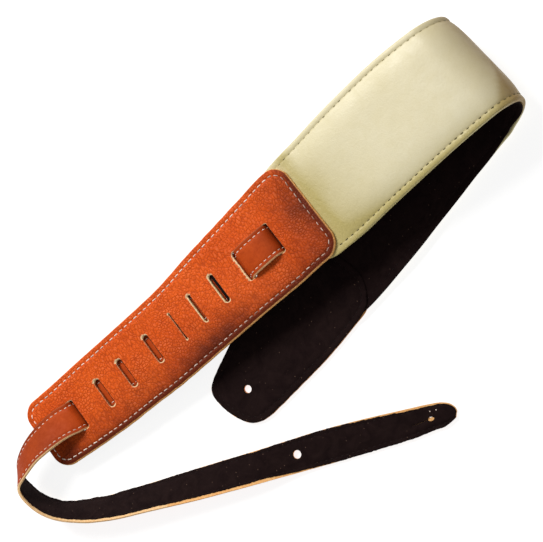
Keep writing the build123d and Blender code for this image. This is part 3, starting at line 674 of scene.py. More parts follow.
def cream_leather():
    m = Mat("cream_leather", Specular_IOR_Level=0.5, Coat_Weight=0.1, Coat_Roughness=0.42)
    w = m.warp(2.0, 1.2)
    cell = m.vor(0.9, "SMOOTH_F1", w, 1.0, 0.4)
    cell2 = m.vor(2.4, "SMOOTH_F1", w, 1.0, 0.6)
    big, _ = m.noise(60.0, 3.0, 0.5)
    mid, _ = m.noise(9.0, 4.0, 0.6, 0.5)
    wr, _ = m.noise(3.4, 3.0, 0.6, 1.0)
    col = m.mix(m.ramp(big, [(0.3, 0.0), (0.7, 1.0)]), rgb(222, 212, 176), rgb(228, 220, 188))
    col = m.mix(m.ramp(mid, [(0.4, 0.0), (0.75, 0.35)]), col, rgb(214, 203, 160))
    col = m.mix(m.ramp(cell, [(0.45, 0.0), (0.95, 0.16)]), col, rgb(202, 188, 142))
    seam = m.attr("seam")
    col = m.mix(m.math("MULTIPLY", seam, 0.26, clamp=True), col, rgb(176, 160, 104))
    # olive darkening: painted shade near the panel's end and along the pad's lower edge
    burn = m.attr("burn")
    col = m.mix(m.math("MULTIPLY", burn, 0.8, clamp=True), col, rgb(172, 155, 72))
    # brown round the fold: painted shade, with a painted cast shadow at its lower corner
    col = m.mix(m.math("MULTIPLY", m.attr("tan"), 1.0, clamp=True), col, rgb(140, 108, 26))
    h = m.math("MULTIPLY_ADD", cell, -1.0, m.math("MULTIPLY", cell2, -0.7))
    cst = m.t.nodes.new("ShaderNodeMapping")
    cst.inputs["Rotation"].default_value = (0, 0, math.radians(-35))
    cst.inputs["Scale"].default_value = (1.0, 0.4, 1.0)
    m.t.links.new(w, cst.inputs["Vector"])
    crease, _ = m.noise(2.4, 3.0, 0.6, 0.8, cst.outputs["Vector"])
    n0 = m.bump(m.math("MULTIPLY", crease, burn), 0.5, 1.0)
    n1 = m.bump(wr, 0.22, 0.6, n0)
    n2 = m.bump(h, 0.45, 0.09, n1)
    r = m.ramp(mid, [(0.3, 0.42), (0.75, 0.56)])
    return m.done(col, r, n2)


def suede(name, dark, light, fleck):
    """Napped suede: short fibres, brushed patches and a few caught flecks."""
    m = Mat(name, Specular_IOR_Level=0.06, Sheen_Weight=0.02, Sheen_Roughness=0.55,
            Sheen_Tint=rgb(150, 120, 115))
    nap, _ = m.noise(0.55, 5.0, 0.75)
    brush, _ = m.noise(11.0, 4.0, 0.62, 1.1)
    fib, _ = m.noise(1.5, 4.0, 0.7, 2.0)
    dust = m.vor(4.4, "F1", m.warp(5.0, 3.0))
    col = m.mix(m.ramp(brush, [(0.32, 0.0), (0.72, 1.0)]), dark, light)
    col = m.mix(m.ramp(nap, [(0.35, 0.0), (0.8, 0.6)]), col, light)
    col = m.mix(m.ramp(dust, [(0.0, 0.7), (0.065, 0.55), (0.09, 0.0)]), col, fleck)
    h = m.math("MULTIPLY_ADD", nap, 1.0, m.math("MULTIPLY", fib, 0.8))
    n1 = m.bump(h, 0.75, 0.3)
    return m.done(col, 0.92, n1)


def thread(name, dark, light, sunk):
    """Waxed twisted thread."""
    m = Mat(name, Specular_IOR_Level=0.1)
    ply, _ = m.noise(0.22, 2.0, 0.5, 2.5)
    tn = m.attr("tone")
    col = m.mix(m.ramp(ply, [(0.35, 0.0), (0.65, 1.0)]), dark, light)
    col = m.mix(m.math("MULTIPLY", tn, 1.0, clamp=True), col, sunk)
    return m.done(col, 0.6, m.bump(ply, 0.6, 0.12))


def foam_mat():
    m = Mat("pad_foam", Specular_IOR_Level=0.2)
    c = m.vor(0.8, "F1")
    col = m.mix(m.ramp(c, [(0.2, 0.0), (0.8, 1.0)]), rgb(236, 230, 205), rgb(196, 186, 150))
    return m.done(col, 0.95, m.bump(c, 0.6, 0.3))


# valley tone: painted shade in the grain's creases; last colour: wear mixed with painted shade
PANEL_MAT = grain_leather("panel_leather", (rgb(128, 38, 8), rgb(216, 82, 14), rgb(234, 96, 22)), 2.35,
                          rgb(84, 27, 7), 0.27, (0.42, 0.62))
# last colour: worn edges, and a painted shadow where the strap dives under the slots
STRAP_MAT = smooth_leather("strap_leather", (rgb(174, 64, 16), rgb(142, 46, 9), rgb(194, 78, 24)), rgb(78, 24, 8))
CREAM_MAT = cream_leather()
SUEDE_MAT = suede("black_suede", rgb(19, 9, 10), rgb(35, 23, 22), rgb(112, 88, 74))
# third colour: the darker tone of some stitches, at random and as painted shade with wear on the panel's right end and
# lower edge
THREAD_MAT = thread("cream_thread", rgb(238, 208, 186), rgb(255, 244, 234), rgb(150, 106, 88))
PAD_THREAD_MAT = thread("olive_thread", rgb(72, 66, 42), rgb(112, 104, 72), rgb(164, 153, 114))
DARK_THREAD_MAT = thread("dark_thread", rgb(20, 13, 13), rgb(44, 32, 30), rgb(14, 9, 9))
FOAM_MAT = foam_mat()


def dress(ob, mat, slot, *nodes):
    ob.data.materials.clear()
    ob.data.materials.append(mat)
    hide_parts(*nodes)
    return ob


# ---- slotted adjuster panel ------------------------------------------------
def panel_loop(step=1.0):
    x0, x1, r0, r1 = PANEL_X0, PANEL_X1, PANEL_R0, PANEL_R1
    pts = []
    for x in np.arange(x0 + r0, x1 - r1, 1.0):
        pts.append((x, edge_r(x)))
    for p in np.radians(np.arange(0, 90, 5)):
        x = x1 - r1 + r1 * math.sin(p)
        pts.append((x, edge_r(x) + r1 - r1 * math.cos(p)))
    for y in np.linspace(edge_r(x1) + r1, edge_l(x1) - r1, 40)[:-1]:
        pts.append((x1, y))
    for p in np.radians(np.arange(0, 90, 5)):
        x = x1 - r1 + r1 * math.cos(p)
        pts.append((x, edge_l(x) - r1 + r1 * math.sin(p)))
    for x in np.arange(x1 - r1, x0 + r0, -1.0):
        pts.append((x, edge_l(x)))
    for p in np.radians(np.arange(0, 90, 5)):
        x = x0 + r0 - r0 * math.sin(p)
        pts.append((x, edge_l(x) - r0 + r0 * math.cos(p)))
    for y in np.linspace(edge_l(x0) - r0, edge_r(x0) + r0, 30)[:-1]:
        pts.append((x0, y))
    for p in np.radians(np.arange(0, 90, 5)):
        x = x0 + r0 - r0 * math.cos(p)
        pts.append((x, edge_r(x) + r0 - r0 * math.sin(p)))
    return ccw(resample(np.array(pts), step))


def jitter(loop, amount, seed, scale=9.0):
    w1, w2 = waves(seed, scale), waves(seed + 50, 2.6)
    t = np.roll(loop, -1, 0) - np.roll(loop, 1, 0)
    t /= np.linalg.norm(t, axis=1)[:, None]
    a = (0.65 * w1(loop[:, 0], loop[:, 1]) + 0.35 * w2(loop[:, 0], loop[:, 1])) * amount
    return loop + np.stack([-t[:, 1], t[:, 0]], 1) * a[:, None]


def stadium(cx, cy, length, width, step=0.6, lean=0.0):
    r = width / 2
    h = length / 2 - r
    pts = [(cx + r * math.cos(a), cy + h + r * math.sin(a)) for a in np.linspace(0, math.pi, 14)]
    pts += [(cx + r * math.cos(a), cy - h + r * math.sin(a)) for a in np.linspace(math.pi, math.tau, 14)]
    p = np.array(pts)
    p[:, 0] += lean * (p[:, 1] - cy)
    return ccw(resample(p, step))


def softbox(cx, cy, length, width, r, step=0.6):
    hx, hy = width / 2 - r, length / 2 - r
    p = []
    for k, (sx, sy) in enumerate(((1, 1), (-1, 1), (-1, -1), (1, -1))):
        for a in np.linspace(0, math.pi / 2, 6):
            t = a + k * math.pi / 2
            p.append((cx + sx * hx + r * math.cos(t), cy + sy * hy + r * math.sin(t)))
    return ccw(resample(np.array(p), step))


SEAM_IN = 4.4
p_smooth = panel_loop(1.0)
p_outer = jitter(p_smooth, 0.13, 11)
slots = []
# width of each free slot and of the pale lip on its left side: worn ones have closed up
SLOT_LOOK = [(5.4, 0.1, 0.1), (5.3, 0.1, 0.12), (5.0, 0.1, 0.1), (1.1, 0.1, 0.25), (2.3, 0.65, 1.0), (4.1, 0.75, 1.0)]
slot_info = []
for i, (x, (wd, lip, side)) in enumerate(zip(FREE_SLOTS, SLOT_LOOK)):
    slots.append(jitter(stadium(x, float(strap_c(x)) - 0.6, 23.7, wd), 0.1, 20 + i, 5.0))
    slot_info.append((x, wd, lip, 1.45 if wd > 2 else 0.8, 0.9, side))
for i, ((x, wd), (lip, top, side)) in enumerate(zip(USED_SLOTS, [(0.12, 0.9, 0.2), (1.0, 0.5, 1.0), (0.12, 0.3, 0.2)])):
    slots.append(jitter(softbox(x, float(strap_c(x)) - 0.25, 24.4, wd, 1.6), 0.1 if i != 1 else 0.22, 40 + i, 4.0))
    slot_info.append((x, wd, lip, top, 0.5, side))
seam_rows = np.vstack([inset(p_smooth, SEAM_IN + q) for q in (-1.7, -0.9, -0.45, 0.0, 0.45, 0.9, 1.7)])
panel_shape = sheet_mesh(p_outer, slots, 2.2, rings=(0.25, 0.6, 1.1, 2.0), extra=seam_rows)
v2 = panel_shape[0]
d_out, n_in = loop_distance(v2, p_outer)
d_slot = np.full(len(v2), 1e9)
which = np.zeros(len(v2), int)
for i, h in enumerate(panel_shape[4]):
    dd = loop_distance(v2, h)[0]
    which = np.where(dd < d_slot, i, which)
    d_slot = np.minimum(d_slot, dd)
lip_w = np.zeros(len(v2))
blob = np.zeros(len(v2))
side_raw = np.ones(len(v2))
for i, (cx, wd, lip, top, low_end, side) in enumerate(slot_info):
    rx, ry = v2[:, 0] - cx, v2[:, 1] - float(strap_c(cx)) + 0.35
    left = 0.5 - 0.5 * np.tanh(rx / 0.7)
    end_t = ramp01(ry, 9.8, 11.4)
    end_b = ramp01(-ry, 10.6, 12.0)
    rag = 1 + 0.2 * waves(300 + i, 1.8)(v2[:, 0], v2[:, 1])
    lw = (0.04 + lip * left) * (1 - end_t) * (1 - end_b) + (0.35 + (top - 0.35) * (0.3 + 0.7 * left)) * end_t + low_end * (0.4 + 0.6 * (1 - left)) * end_b
    lip_w = np.where(which == i, lw * rag, lip_w)
    blob = np.where(which == i, end_t * (0.3 + 0.7 * left) * (top > 0.8), blob)
    side_raw = np.where(which == i, side + (1 - side) * np.maximum(end_t, end_b), side_raw)
side_raw = np.where(d_out < d_slot, 1.0, side_raw)
out_dir = -n_in                                    # towards the nearest outer edge
low = np.clip(out_dir @ np.array([0.55, -0.83]) * 0.9 + 0.35, 0, 1)   # 1 at the right end and the lower edge
wv, wv2 = waves(1, 55.0), waves(2, 15.0)
tt = bevel_profile(d_out, 0.75, 0.95) + bevel_profile(d_slot, 0.55, 0.8)
tt += -0.9 * blob * np.clip(1 - d_slot / 1.5, 0, 1)
tt += -(0.25 + 0.65 * low) * np.clip(1 - d_out / SEAM_IN, 0, 1) ** 1.5
tt += -0.5 * np.exp(-((d_out - SEAM_IN) / 0.7) ** 2)
tt += 0.2 * np.exp(-((d_out - SEAM_IN - 2.2) / 1.2) ** 2)
lift = np.clip(1 - d_slot / 5.0, 0, 1) ** 2        # lips around the slots stand up a little
tt += 0.22 * lift + 0.22 * wv(v2[:, 0], v2[:, 1]) + 0.07 * wv2(v2[:, 0], v2[:, 1])
# soft crease that runs from the strap's loop to the lower edge near the right end
ca, cb = np.array([33.0, -1.5]), np.array([47.0, -20.5])
ab = cb - ca
q = np.clip(((v2 - ca) @ ab) / (ab @ ab), -0.15, 1.1)
dc = np.linalg.norm(v2 - (ca + q[:, None] * ab), axis=1)
tt += -0.3 * np.exp(-(dc / 1.0) ** 2) + 0.18 * np.exp(-((dc - 2.2) / 1.4) ** 2)
x, y = v2[:, 0], v2[:, 1]
# darker border outside the seam and a dark patch near the right end come from wear; painted shade makes the panel
# darker towards the right end and the lower edge, and in a few patches
burn = np.zeros(len(v2))
burn += np.clip(1 - d_out / (SEAM_IN + 0.3), 0, 1) ** 0.3 * (0.05 + 1.0 * low) * (d_out < SEAM_IN + 0.3)
burn += 0.4 * low * np.exp(-np.clip(d_out - SEAM_IN, 0, None) / 7.0) * (d_out >= SEAM_IN)
burn += 0.4 * np.exp(-(((x - 49) / 11.0) ** 2 + ((y - 14) / 13.0) ** 2))
burn += 0.26 * ramp01(x, 6.0, 52.0)
burn += 0.46 * np.exp(-(((x + 66) / 25.0) ** 2 + ((y + 17) / 8.0) ** 2))
burn += 0.26 * np.exp(-(((x + 36) / 18.0) ** 2 + ((y + 14) / 9.0) ** 2))
burn += 0.45 * np.exp(-(((x + 207) / 9.0) ** 2 + ((y + 6) / 9.0) ** 2))
burn += 0.17 * ramp01(-y, -24.0, 18.0) + 0.13 * ramp01(-y, -12.0, 18.0) * ramp01(-x, 20.0, 60.0)
burn = np.clip(burn + 0.09 * waves(5, 9.0)(x, y) * (burn > 0.05), 0, 1)


def panel_place(u, v, t):
    return np.stack([u, v, top_z(u) + lap(u) + t], 1)


def under_panel(u, v, t):
    return np.stack([u, v, top_z(u) + lining_top(u) + t], 1)

seam_path = inset(resample(p_smooth, 0.7), SEAM_IN)
panel_leather = solid_sheet(
    "panel_leather", panel_shape, panel_place, tt, -LEATHER_T, walls=4,
    raw_top=np.maximum(np.clip((0.22 + 0.5 * low - d_out) / 0.22 + 0.5, 0, 1),
                       np.clip((lip_w - d_slot) / 0.2 + 0.5, 0, 1)),
    more={"burn": burn, "pale": (d_slot < d_out) * 1.0}, wall_raw=side_raw)
dress(panel_leather, PANEL_MAT, "panel_leather", "front_panel_leather")
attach(panel_leather, "front_strap")

lining_outer = jitter(inset(p_smooth, 0.35), 0.3, 61, 6.0)
lining_slots = []
for i, (cx, wd, lip, _, _, _) in enumerate(slot_info):
    # the suede stands a little into the slot on its right side and at its upper end
    over = {3: 0.3, 4: 1.0, 5: 2.9, 6: 1.3, 7: -0.3, 8: 1.2}.get(i, 1.3)
    wl = wd + 0.3 - over
    cl = cx - 0.15 - over / 2 + 0.15
    cyl = float(strap_c(cx))
    sh = softbox(cl, cyl - 0.5, 23.4, wl, 0.35 * min(wl, 3.0)) if i < 6 else softbox(cl, cyl - 0.2, 24.4, wl, 1.2)
    lining_slots.append(jitter(sh, 0.08, 70 + i, 4.0))
l_shape = sheet_mesh(lining_outer, lining_slots, 3.0, rings=(0.35, 0.9, 2.0),
                     extra=np.vstack([inset(p_smooth, SEAM_IN + q) for q in (-0.8, 0.0, 0.8)]))
lv = l_shape[0]
l_out, _ = loop_distance(lv, lining_outer)
l_all = np.minimum(l_out, np.min([loop_distance(lv, h)[0] for h in l_shape[4]], axis=0))
l_bot = -LINING_T - bevel_profile(l_all, 0.5, 0.7) + 0.35 * np.exp(-((loop_distance(lv, p_smooth)[0] - SEAM_IN) / 0.8) ** 2)
l_bot += 0.12 * waves(15, 12.0)(lv[:, 0], lv[:, 1])
panel_suede = solid_sheet("panel_suede_lining", l_shape, under_panel, 0.0, l_bot, walls=2)
dress(panel_suede, SUEDE_MAT, "suede", "front_panel_lining")
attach(panel_suede, "front_strap")

UP = np.array([0.0, 0.0, 1.0])
sp = panel_place(seam_path[:, 0], seam_path[:, 1], -0.3)


def panel_stitch_shade_and_wear(px, py, pz):
    """Stitches at the right end and along the lower edge are darker, as painted shade with wear, and pulled in."""
    return float(np.clip(ramp01(np.float64(px), 44.0, 56.0) + 0.75 * ramp01(np.float64(-py), 8.0, 20.0) * ramp01(np.float64(px), -190.0, -90.0), 0, 1))


panel_stitches = stitch_rows("panel_stitches_front", [(sp, np.tile(UP, (len(sp), 1)), True)], radius=0.42, pitch=5.1, length=4.1, rise=0.26,
                             worn=panel_stitch_shade_and_wear)
dress(panel_stitches, THREAD_MAT, "white_thread", "front_panel_needle_thread")
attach(panel_stitches, "front_strap")
sb = under_panel(seam_path[:, 0], seam_path[:, 1], -LINING_T + 0.3)
back_stitches = stitch_rows("panel_stitches_back", [(sb, np.tile(-UP, (len(sb), 1)), True)], radius=0.3, pitch=4.5, length=2.9, rise=0.1, seed=4)
dress(back_stitches, DARK_THREAD_MAT, "dark_thread", "front_panel_bobbin_thread")
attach(back_stitches, "front_strap")


# ---- end tab -----------------------------------------------------------------
def tab_place(u, v, t):
    t = t + 0.0 * u
    return np.stack([TAB_O[0] + TAB_E1[0] * u + TAB_E2[0] * v, TAB_O[1] + TAB_E1[1] * u + TAB_E2[1] * v, t], 1)


TAB_STACK = 2.25 + COVER_T + FOAM_MIN + BACKING_T + 0.2


def tab_under(k):
    return TAB_STACK + (LEATHER_T - TAB_STACK) * ramp01(k, 20.0, 33.0)


tl, tr = np.array(TAB_L), np.array(TAB_R)
raw_loop = np.vstack([tl, (tr * [1, -1])[::-1]])
t_smooth = ccw(resample(raw_loop, 0.5))
t_smooth = np.stack([gauss(np.tile(t_smooth[:, c], 3), 4.0)[len(t_smooth):2 * len(t_smooth)] for c in (0, 1)], 1)
t_smooth = resample(t_smooth, 1.0)
t_outer = jitter(t_smooth, 0.12, 81)
ang = np.linspace(0, math.tau, 30, endpoint=False)
tab_hole = np.stack([117.5 + 2.8 * np.cos(ang), 2.8 * np.sin(ang)], 1)
t_rows = np.vstack([inset(t_smooth, SEAM_IN + q) for q in (-0.9, -0.4, 0.0, 0.4, 0.9)])
t_shape = sheet_mesh(t_outer, [tab_hole], 3.0, rings=(0.3, 0.8, 1.6), extra=t_rows)
tv = t_shape[0]
td = np.minimum(loop_distance(tv, t_outer)[0], loop_distance(tv, t_shape[4][0])[0])
tds = loop_distance(tv, t_smooth)[0]
t_bot = -bevel_profile(td, 0.6, 0.8) + 0.62 * np.exp(-((tds - SEAM_IN) / 0.75) ** 2)
tab_leather = solid_sheet("end_tab_leather", t_shape, tab_place, LEATHER_T, np.maximum(t_bot, 0.0), walls=4, flip=True, wall_raw=0.35,
                          raw_top=1.0, raw_bot=np.clip((0.3 - td) / 0.2 + 0.5, 0, 1),
                          more={"burn": 0.8 * np.clip(1 - tds / SEAM_IN, 0, 1) ** 0.4})
dress(tab_leather, PANEL_MAT, "panel_leather", "end_tab_leather")
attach(tab_leather, "rear_strap")

tls = jitter(inset(t_smooth, 0.15), 0.3, 91, 6.0)
tl_shape = sheet_mesh(tls, [np.stack([117.5 + 2.95 * np.cos(ang), 2.95 * np.sin(ang)], 1)], 2.6, rings=(0.3, 0.8, 1.6), extra=t_rows)
qv = tl_shape[0]
qd = np.minimum(loop_distance(qv, tls)[0], loop_distance(qv, tl_shape[4][0])[0])
q_top = tab_under(qv[:, 0]) + LINING_T + bevel_profile(qd, 0.6, 0.9)
q_top += -0.4 * np.exp(-((loop_distance(qv, t_smooth)[0] - SEAM_IN) / 0.85) ** 2) + 0.14 * waves(17, 16.0)(qv[:, 0], qv[:, 1])
tab_suede = solid_sheet("end_tab_suede_lining", tl_shape, tab_place, q_top, tab_under(qv[:, 0]), walls=3, flip=True)
dress(tab_suede, SUEDE_MAT, "suede", "end_tab_lining")
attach(tab_suede, "rear_strap")

t_seam = inset(resample(t_smooth, 0.7), SEAM_IN)
ts_top = tab_place(t_seam[:, 0], t_seam[:, 1], tab_under(t_seam[:, 0]) + LINING_T - 0.38)
tab_back = stitch_rows("end_tab_stitches_back", [(ts_top, np.tile(UP, (len(ts_top), 1)), True)], radius=0.3, pitch=4.5, length=2.9, rise=0.12, seed=8)
dress(tab_back, DARK_THREAD_MAT, "dark_thread", "end_tab_bobbin_thread")
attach(tab_back, "rear_strap")
ts_bot = tab_place(t_seam[:, 0], t_seam[:, 1], np.full(len(t_seam), 0.62))
tab_front = stitch_rows("end_tab_stitches_front", [(ts_bot, np.tile(-UP, (len(ts_bot), 1)), True)], radius=0.34, pitch=4.5, length=3.1, rise=0.12, dip=0.6, seed=9)
dress(tab_front, THREAD_MAT, "white_thread", "end_tab_needle_thread")
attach(tab_front, "rear_strap")


# ---- ribbons: frames along a run of stations ------------------------------------
class Run:
    """Dense, smooth frames through stations (A edge, B edge)."""

    def __init__(self, A, B, step, sigma):
        A, B = np.asarray(A, float), np.asarray(B, float)
        mid = (A + B) / 2
        s = np.concatenate([[0], np.cumsum(np.linalg.norm(np.diff(mid, axis=0), axis=1))])
        self.key = s
        q = np.arange(0, s[-1] + 1e-6, step)
        if s[-1] - q[-1] > 0.3 * step:
            q = np.append(q, s[-1])
        a = np.stack([pchip(s, A[:, i], q) for i in range(3)], 1)
        b = np.stack([pchip(s, B[:, i], q) for i in range(3)], 1)
        sg = np.asarray([sigma(x) for x in q]) / step
        levels = sorted(set(np.round(sg, 3)))
        lo, hi = min(levels), max(levels)
        a0, a1, b0, b1 = gauss(a, lo), gauss(a, hi), gauss(b, lo), gauss(b, hi)
        f = ((sg - lo) / max(hi - lo, 1e-9))[:, None]
        self.a, self.b = a0 * (1 - f) + a1 * f, b0 * (1 - f) + b1 * f
        self.q = q
        m = (self.a + self.b) / 2
        t = np.gradient(m, axis=0)
        w = self.a - self.b
        n = np.cross(t, w)
        self.n = n / np.linalg.norm(n, axis=1)[:, None]
        self.m = m
        self.hw = np.linalg.norm(w, axis=1) / 2
        self.u = w / (2 * self.hw)[:, None]
        self.len = q[-1]

    def at(self, s, arr):
        if arr.ndim == 1:
            return np.interp(s, self.q, arr)
        return np.stack([np.interp(s, self.q, arr[:, i]) for i in range(arr.shape[1])], 1)

    def place(self, s, v, t, nominal=None):
        """v in mm from the middle towards edge A; with nominal, scaled to the real half width."""
        v, t = v + 0.0 * s, t + 0.0 * s
        if nominal:
            v = v * self.at(s, self.hw) / nominal
        n = self.at(s, self.n)
        n /= np.linalg.norm(n, axis=1)[:, None]
        return self.at(s, self.m) + self.at(s, self.u) * v[:, None] + n * t[:, None]


# ---- narrow adjuster strap ---------------------------------------------------
sA, sB = [], []
for x, h in WEAVE:
    yc, z = float(strap_c(x)), float(top_z(x)) + h
    sA.append((x, yc - STRAP_HALF, z))
    sB.append((x, yc + STRAP_HALF, z))
for c in CURL:
    sA.append(c[0:3])
    sB.append(c[3:6])
_d = (np.array(sA[-1]) + np.array(sB[-1]) - np.array(sA[-2]) - np.array(sB[-2])) / 2
_d *= 0.6 / np.linalg.norm(_d)
sA.append(tuple(np.array(sA[-1]) + _d))
sB.append(tuple(np.array(sB[-1]) + _d))
n_weave = len(WEAVE)
_m = (np.array(sA) + np.array(sB)) / 2
_s = np.concatenate([[0], np.cumsum(np.linalg.norm(np.diff(_m, axis=0), axis=1))])
s_w, s_c = _s[n_weave - 1], _s[n_weave + 3]


def strap_sigma(s):
    return 0.9 + 3.0 * float(ramp01(s, s_w - 3.0, s_c + 8.0)) - 3.0 * float(ramp01(s, _s[-1] - 26.0, _s[-1] - 8.0))


strap = Run(sA, sB, 0.5, strap_sigma)
BEND_S = _s[n_weave + 8]


def strap_uv(px, py):
    """Where a point seen from above lies on the last part of the strap."""
    ok = strap.q > BEND_S + 60
    d = np.linalg.norm(strap.m[:, :2] - np.array([px, py]), axis=1) + np.where(ok, 0, 1e6)
    i = int(d.argmin())
    off = (np.array([px, py]) - strap.m[i, :2]) @ strap.u[i, :2]
    return strap.q[i], off * STRAP_HALF / strap.hw[i], STRAP_HALF / strap.hw[i]


def strap_loop(over_a=0.0, over_b=0.0, end=0.0):
    L, H = strap.len - end, STRAP_HALF
    ru, vt, ch = 1.4, 1.0, 1.2
    pts = [(s, -H - over_b) for s in np.arange(0.0, L - ru, 1.0)]
    for p in np.radians(np.arange(0, 88, 4)):
        pts.append((L - ru + ru * math.sin(p) ** 0.78, vt - (H + over_b + vt) * math.cos(p) ** 0.78))
    for f in np.linspace(0.0, 1.0, 12):
        pts.append((L - 0.4 - (ch - 0.4) * f ** 1.1, vt + (H + over_a - vt) * f))
    pts += [(s, H + over_a) for s in np.arange(L - ch - 1.0, 0.0, -1.0)]
    pts += [(0.0, v) for v in np.arange(H - 1.0, -H, -1.5)]
    return ccw(resample(np.array(pts), 0.9))


def hole_loop(c, r, grow=0.0, slit=False, shift=0.0, flat=1.0):
    s0, v0, k = strap_uv(*c)
    v0 += shift
    a = np.linspace(0, math.tau, 28, endpoint=False)
    if not slit:
        return ccw(np.stack([s0 + (r + grow) * np.cos(a), v0 + (r + grow) * k * flat * np.sin(a)], 1))
    h = 0.11 + grow
    k = k * flat
    a = np.linspace(-math.pi + math.asin(h / (r + grow)), math.pi - math.asin(h / (r + grow)), 26)
    p = [(s0 + (r + grow) * math.cos(t), v0 + (r + grow) * k * math.sin(t)) for t in a]
    p += [(s0 - 6.0, v0 + h + 0.5), (s0 - 11.0, v0 + h * 0.8 + 0.9), (s0 - 14.5, v0 + 0.9), (s0 - 11.0, v0 - h * 0.8 + 0.9), (s0 - 6.0, v0 - h + 0.5)]
    return ccw(np.array(p))


s_outer = jitter(strap_loop(), 0.09, 101, 12.0)
s_holes = [hole_loop(TAIL_HOLE, HOLE_R), hole_loop(TIP_HOLE, 2.1, shift=-2.9, flat=0.75)]
ROW = 3.1
row_v = [STRAP_HALF - ROW + q for q in (-0.8, -0.35, 0.0, 0.35, 0.8)] + [-(STRAP_HALF - ROW) + q for q in (-0.8, -0.35, 0.0, 0.35, 0.8)]
s_rows = np.array([(s, v) for s in np.arange(2.0, strap.len - 6.0, 1.1) for v in row_v])
s_dive = [(_s[27] + _s[28]) / 2, (_s[4] + _s[5]) / 2]
d_rows = np.array([(q0 + q1, v) for q0 in s_dive for q1 in (-2.4, -1.6, -0.8, 0.0, 0.8, 1.6, 2.4) for v in np.arange(-11.4, 11.5, 1.0)])
s_shape = sheet_mesh(s_outer, s_holes, 1.8, rings=(0.25, 0.6, 1.1), extra=np.vstack([s_rows, d_rows]))
sv = s_shape[0]
sd = np.minimum(loop_distance(sv, s_outer)[0], np.min([loop_distance(sv, h)[0] for h in s_shape[4]], axis=0))
vv = np.abs(sv[:, 1])
s_top = bevel_profile(sd, 0.6, 0.8) - 0.25 * (vv / STRAP_HALF) ** 4 - 0.36 * np.exp(-((vv - STRAP_HALF + ROW) / 0.6) ** 2)
s_top += 0.1 * waves(19, 14.0)(sv[:, 0], sv[:, 1]) * (vv < 11)
s_top = np.minimum(s_top, 0.05)
s_top = np.where(sv[:, 0] > BEND_S + 40, np.minimum(s_top, 0.0), s_top)
# darker edges from wear, darker where the strap comes up onto the bridge and along the curl
s_wear_and_shade = 0.5 * np.clip(1 - (STRAP_HALF - vv) / 3.0, 0, 1) ** 0.7 + 0.35 * np.exp(-((sv[:, 0] - 32.0) / 6.0) ** 2) * (vv < 9)
s_wear_and_shade += 0.4 * ramp01(sv[:, 0], s_w + 2.0, s_w + 30.0)
# painted shadow where the strap dives under the slots' edges
for q0 in s_dive:
    s_wear_and_shade += 1.4 * np.exp(-((sv[:, 0] - q0) / 1.7) ** 2)
s_wear_and_shade = np.clip(s_wear_and_shade, 0, 1)


def strap_place(u, v, t):
    return strap.place(u, v, t, STRAP_HALF)


# the lower edge is cut clean and pale; the upper one is dyed until the curl
dyed = (sv[:, 1] < 0) * (1 - ramp01(sv[:, 0], s_c - 6.0, BEND_S + 30.0))
strap_leather = solid_sheet("adjuster_strap_leather", s_shape, strap_place, s_top, -STRAP_LEATHER_T, walls=4,
                            raw_top=np.clip((0.3 + 0.3 * (sv[:, 0] < BEND_S + 30) - sd) / 0.2 + 0.5, 0, 1) * (1 - 0.9 * dyed), raw_bot=1.0,
                            more={"burn": s_wear_and_shade, "pale": 0.4 * (sv[:, 0] < BEND_S + 120) + 0.15}, wall_raw=1 - 0.8 * dyed)
dress(strap_leather, STRAP_MAT, "strap_leather", "adjuster_strap_leather_woven_run", "adjuster_strap_leather_tail")

sl_outer = strap_loop(-0.1, -0.1, 0.3)
# the leather's cut edge stands out past the suede along the curl and round the tip's upper side
tipward = ramp01(sl_outer[:, 0], strap.len - 95.0, strap.len - 25.0)
curlward = ramp01(sl_outer[:, 0], s_w + 6.0, s_w + 40.0) * (1 - ramp01(sl_outer[:, 0], strap.len - 150.0, strap.len - 90.0))
sl_outer[:, 1] += np.where(sl_outer[:, 1] > 0, -1.85 * curlward + 0.35 * tipward, (0.2 * curlward + 1.5 * tipward) * (sl_outer[:, 1] < 0))
wa = waves(111, 9.0)
bside = 1.0 + 1.3 * (sl_outer[:, 1] < 0) * (1 - ramp01(sl_outer[:, 0], BEND_S + 60.0, BEND_S + 110.0))
wob = (0.28 * wa(sl_outer[:, 0], sl_outer[:, 1] * 3) * bside + 0.2 * waves(112, 3.0)(sl_outer[:, 0], sl_outer[:, 1])) * ramp01(sl_outer[:, 0], s_w, s_w + 20)
sl_outer = sl_outer + np.stack([0 * wob, np.sign(sl_outer[:, 1]) * wob], 1)
sl_shape = sheet_mesh(sl_outer, [hole_loop(TAIL_HOLE, HOLE_R, 0.12), hole_loop(TIP_HOLE, 2.3, 0.0, slit=True, shift=0.4, flat=0.62)], 1.9, rings=(0.3, 0.8), extra=s_rows)
wv_ = sl_shape[0]
wd = np.minimum(loop_distance(wv_, sl_outer)[0], np.min([loop_distance(wv_, h)[0] for h in sl_shape[4]], axis=0))
w_bot = -STRAP_LEATHER_T - STRAP_LINING_T - bevel_profile(wd, 0.4, 0.6) + 0.3 * np.exp(-((np.abs(wv_[:, 1]) - STRAP_HALF + ROW) / 0.7) ** 2)
w_bot += 0.1 * waves(21, 7.0)(wv_[:, 0], wv_[:, 1])
strap_suede = solid_sheet("adjuster_strap_suede_lining", sl_shape, strap_place, -STRAP_LEATHER_T, w_bot, walls=2)
dress(strap_suede, SUEDE_MAT, "suede", "adjuster_strap_lining_woven_run", "adjuster_strap_lining_tail")

srow = np.arange(3.0, strap.len - 7.0, 0.6)
rows_f, rows_b = [], []
for sgn in (1, -1):
    vrow = np.full(len(srow), sgn * (STRAP_HALF - ROW))
    nn = strap.at(srow, strap.n)
    rows_f.append((strap_place(srow, vrow, np.full(len(srow), -0.46)), nn, False))
    rows_b.append((strap_place(srow, vrow, np.full(len(srow), -STRAP_LEATHER_T - STRAP_LINING_T + 0.28)), -nn, False))
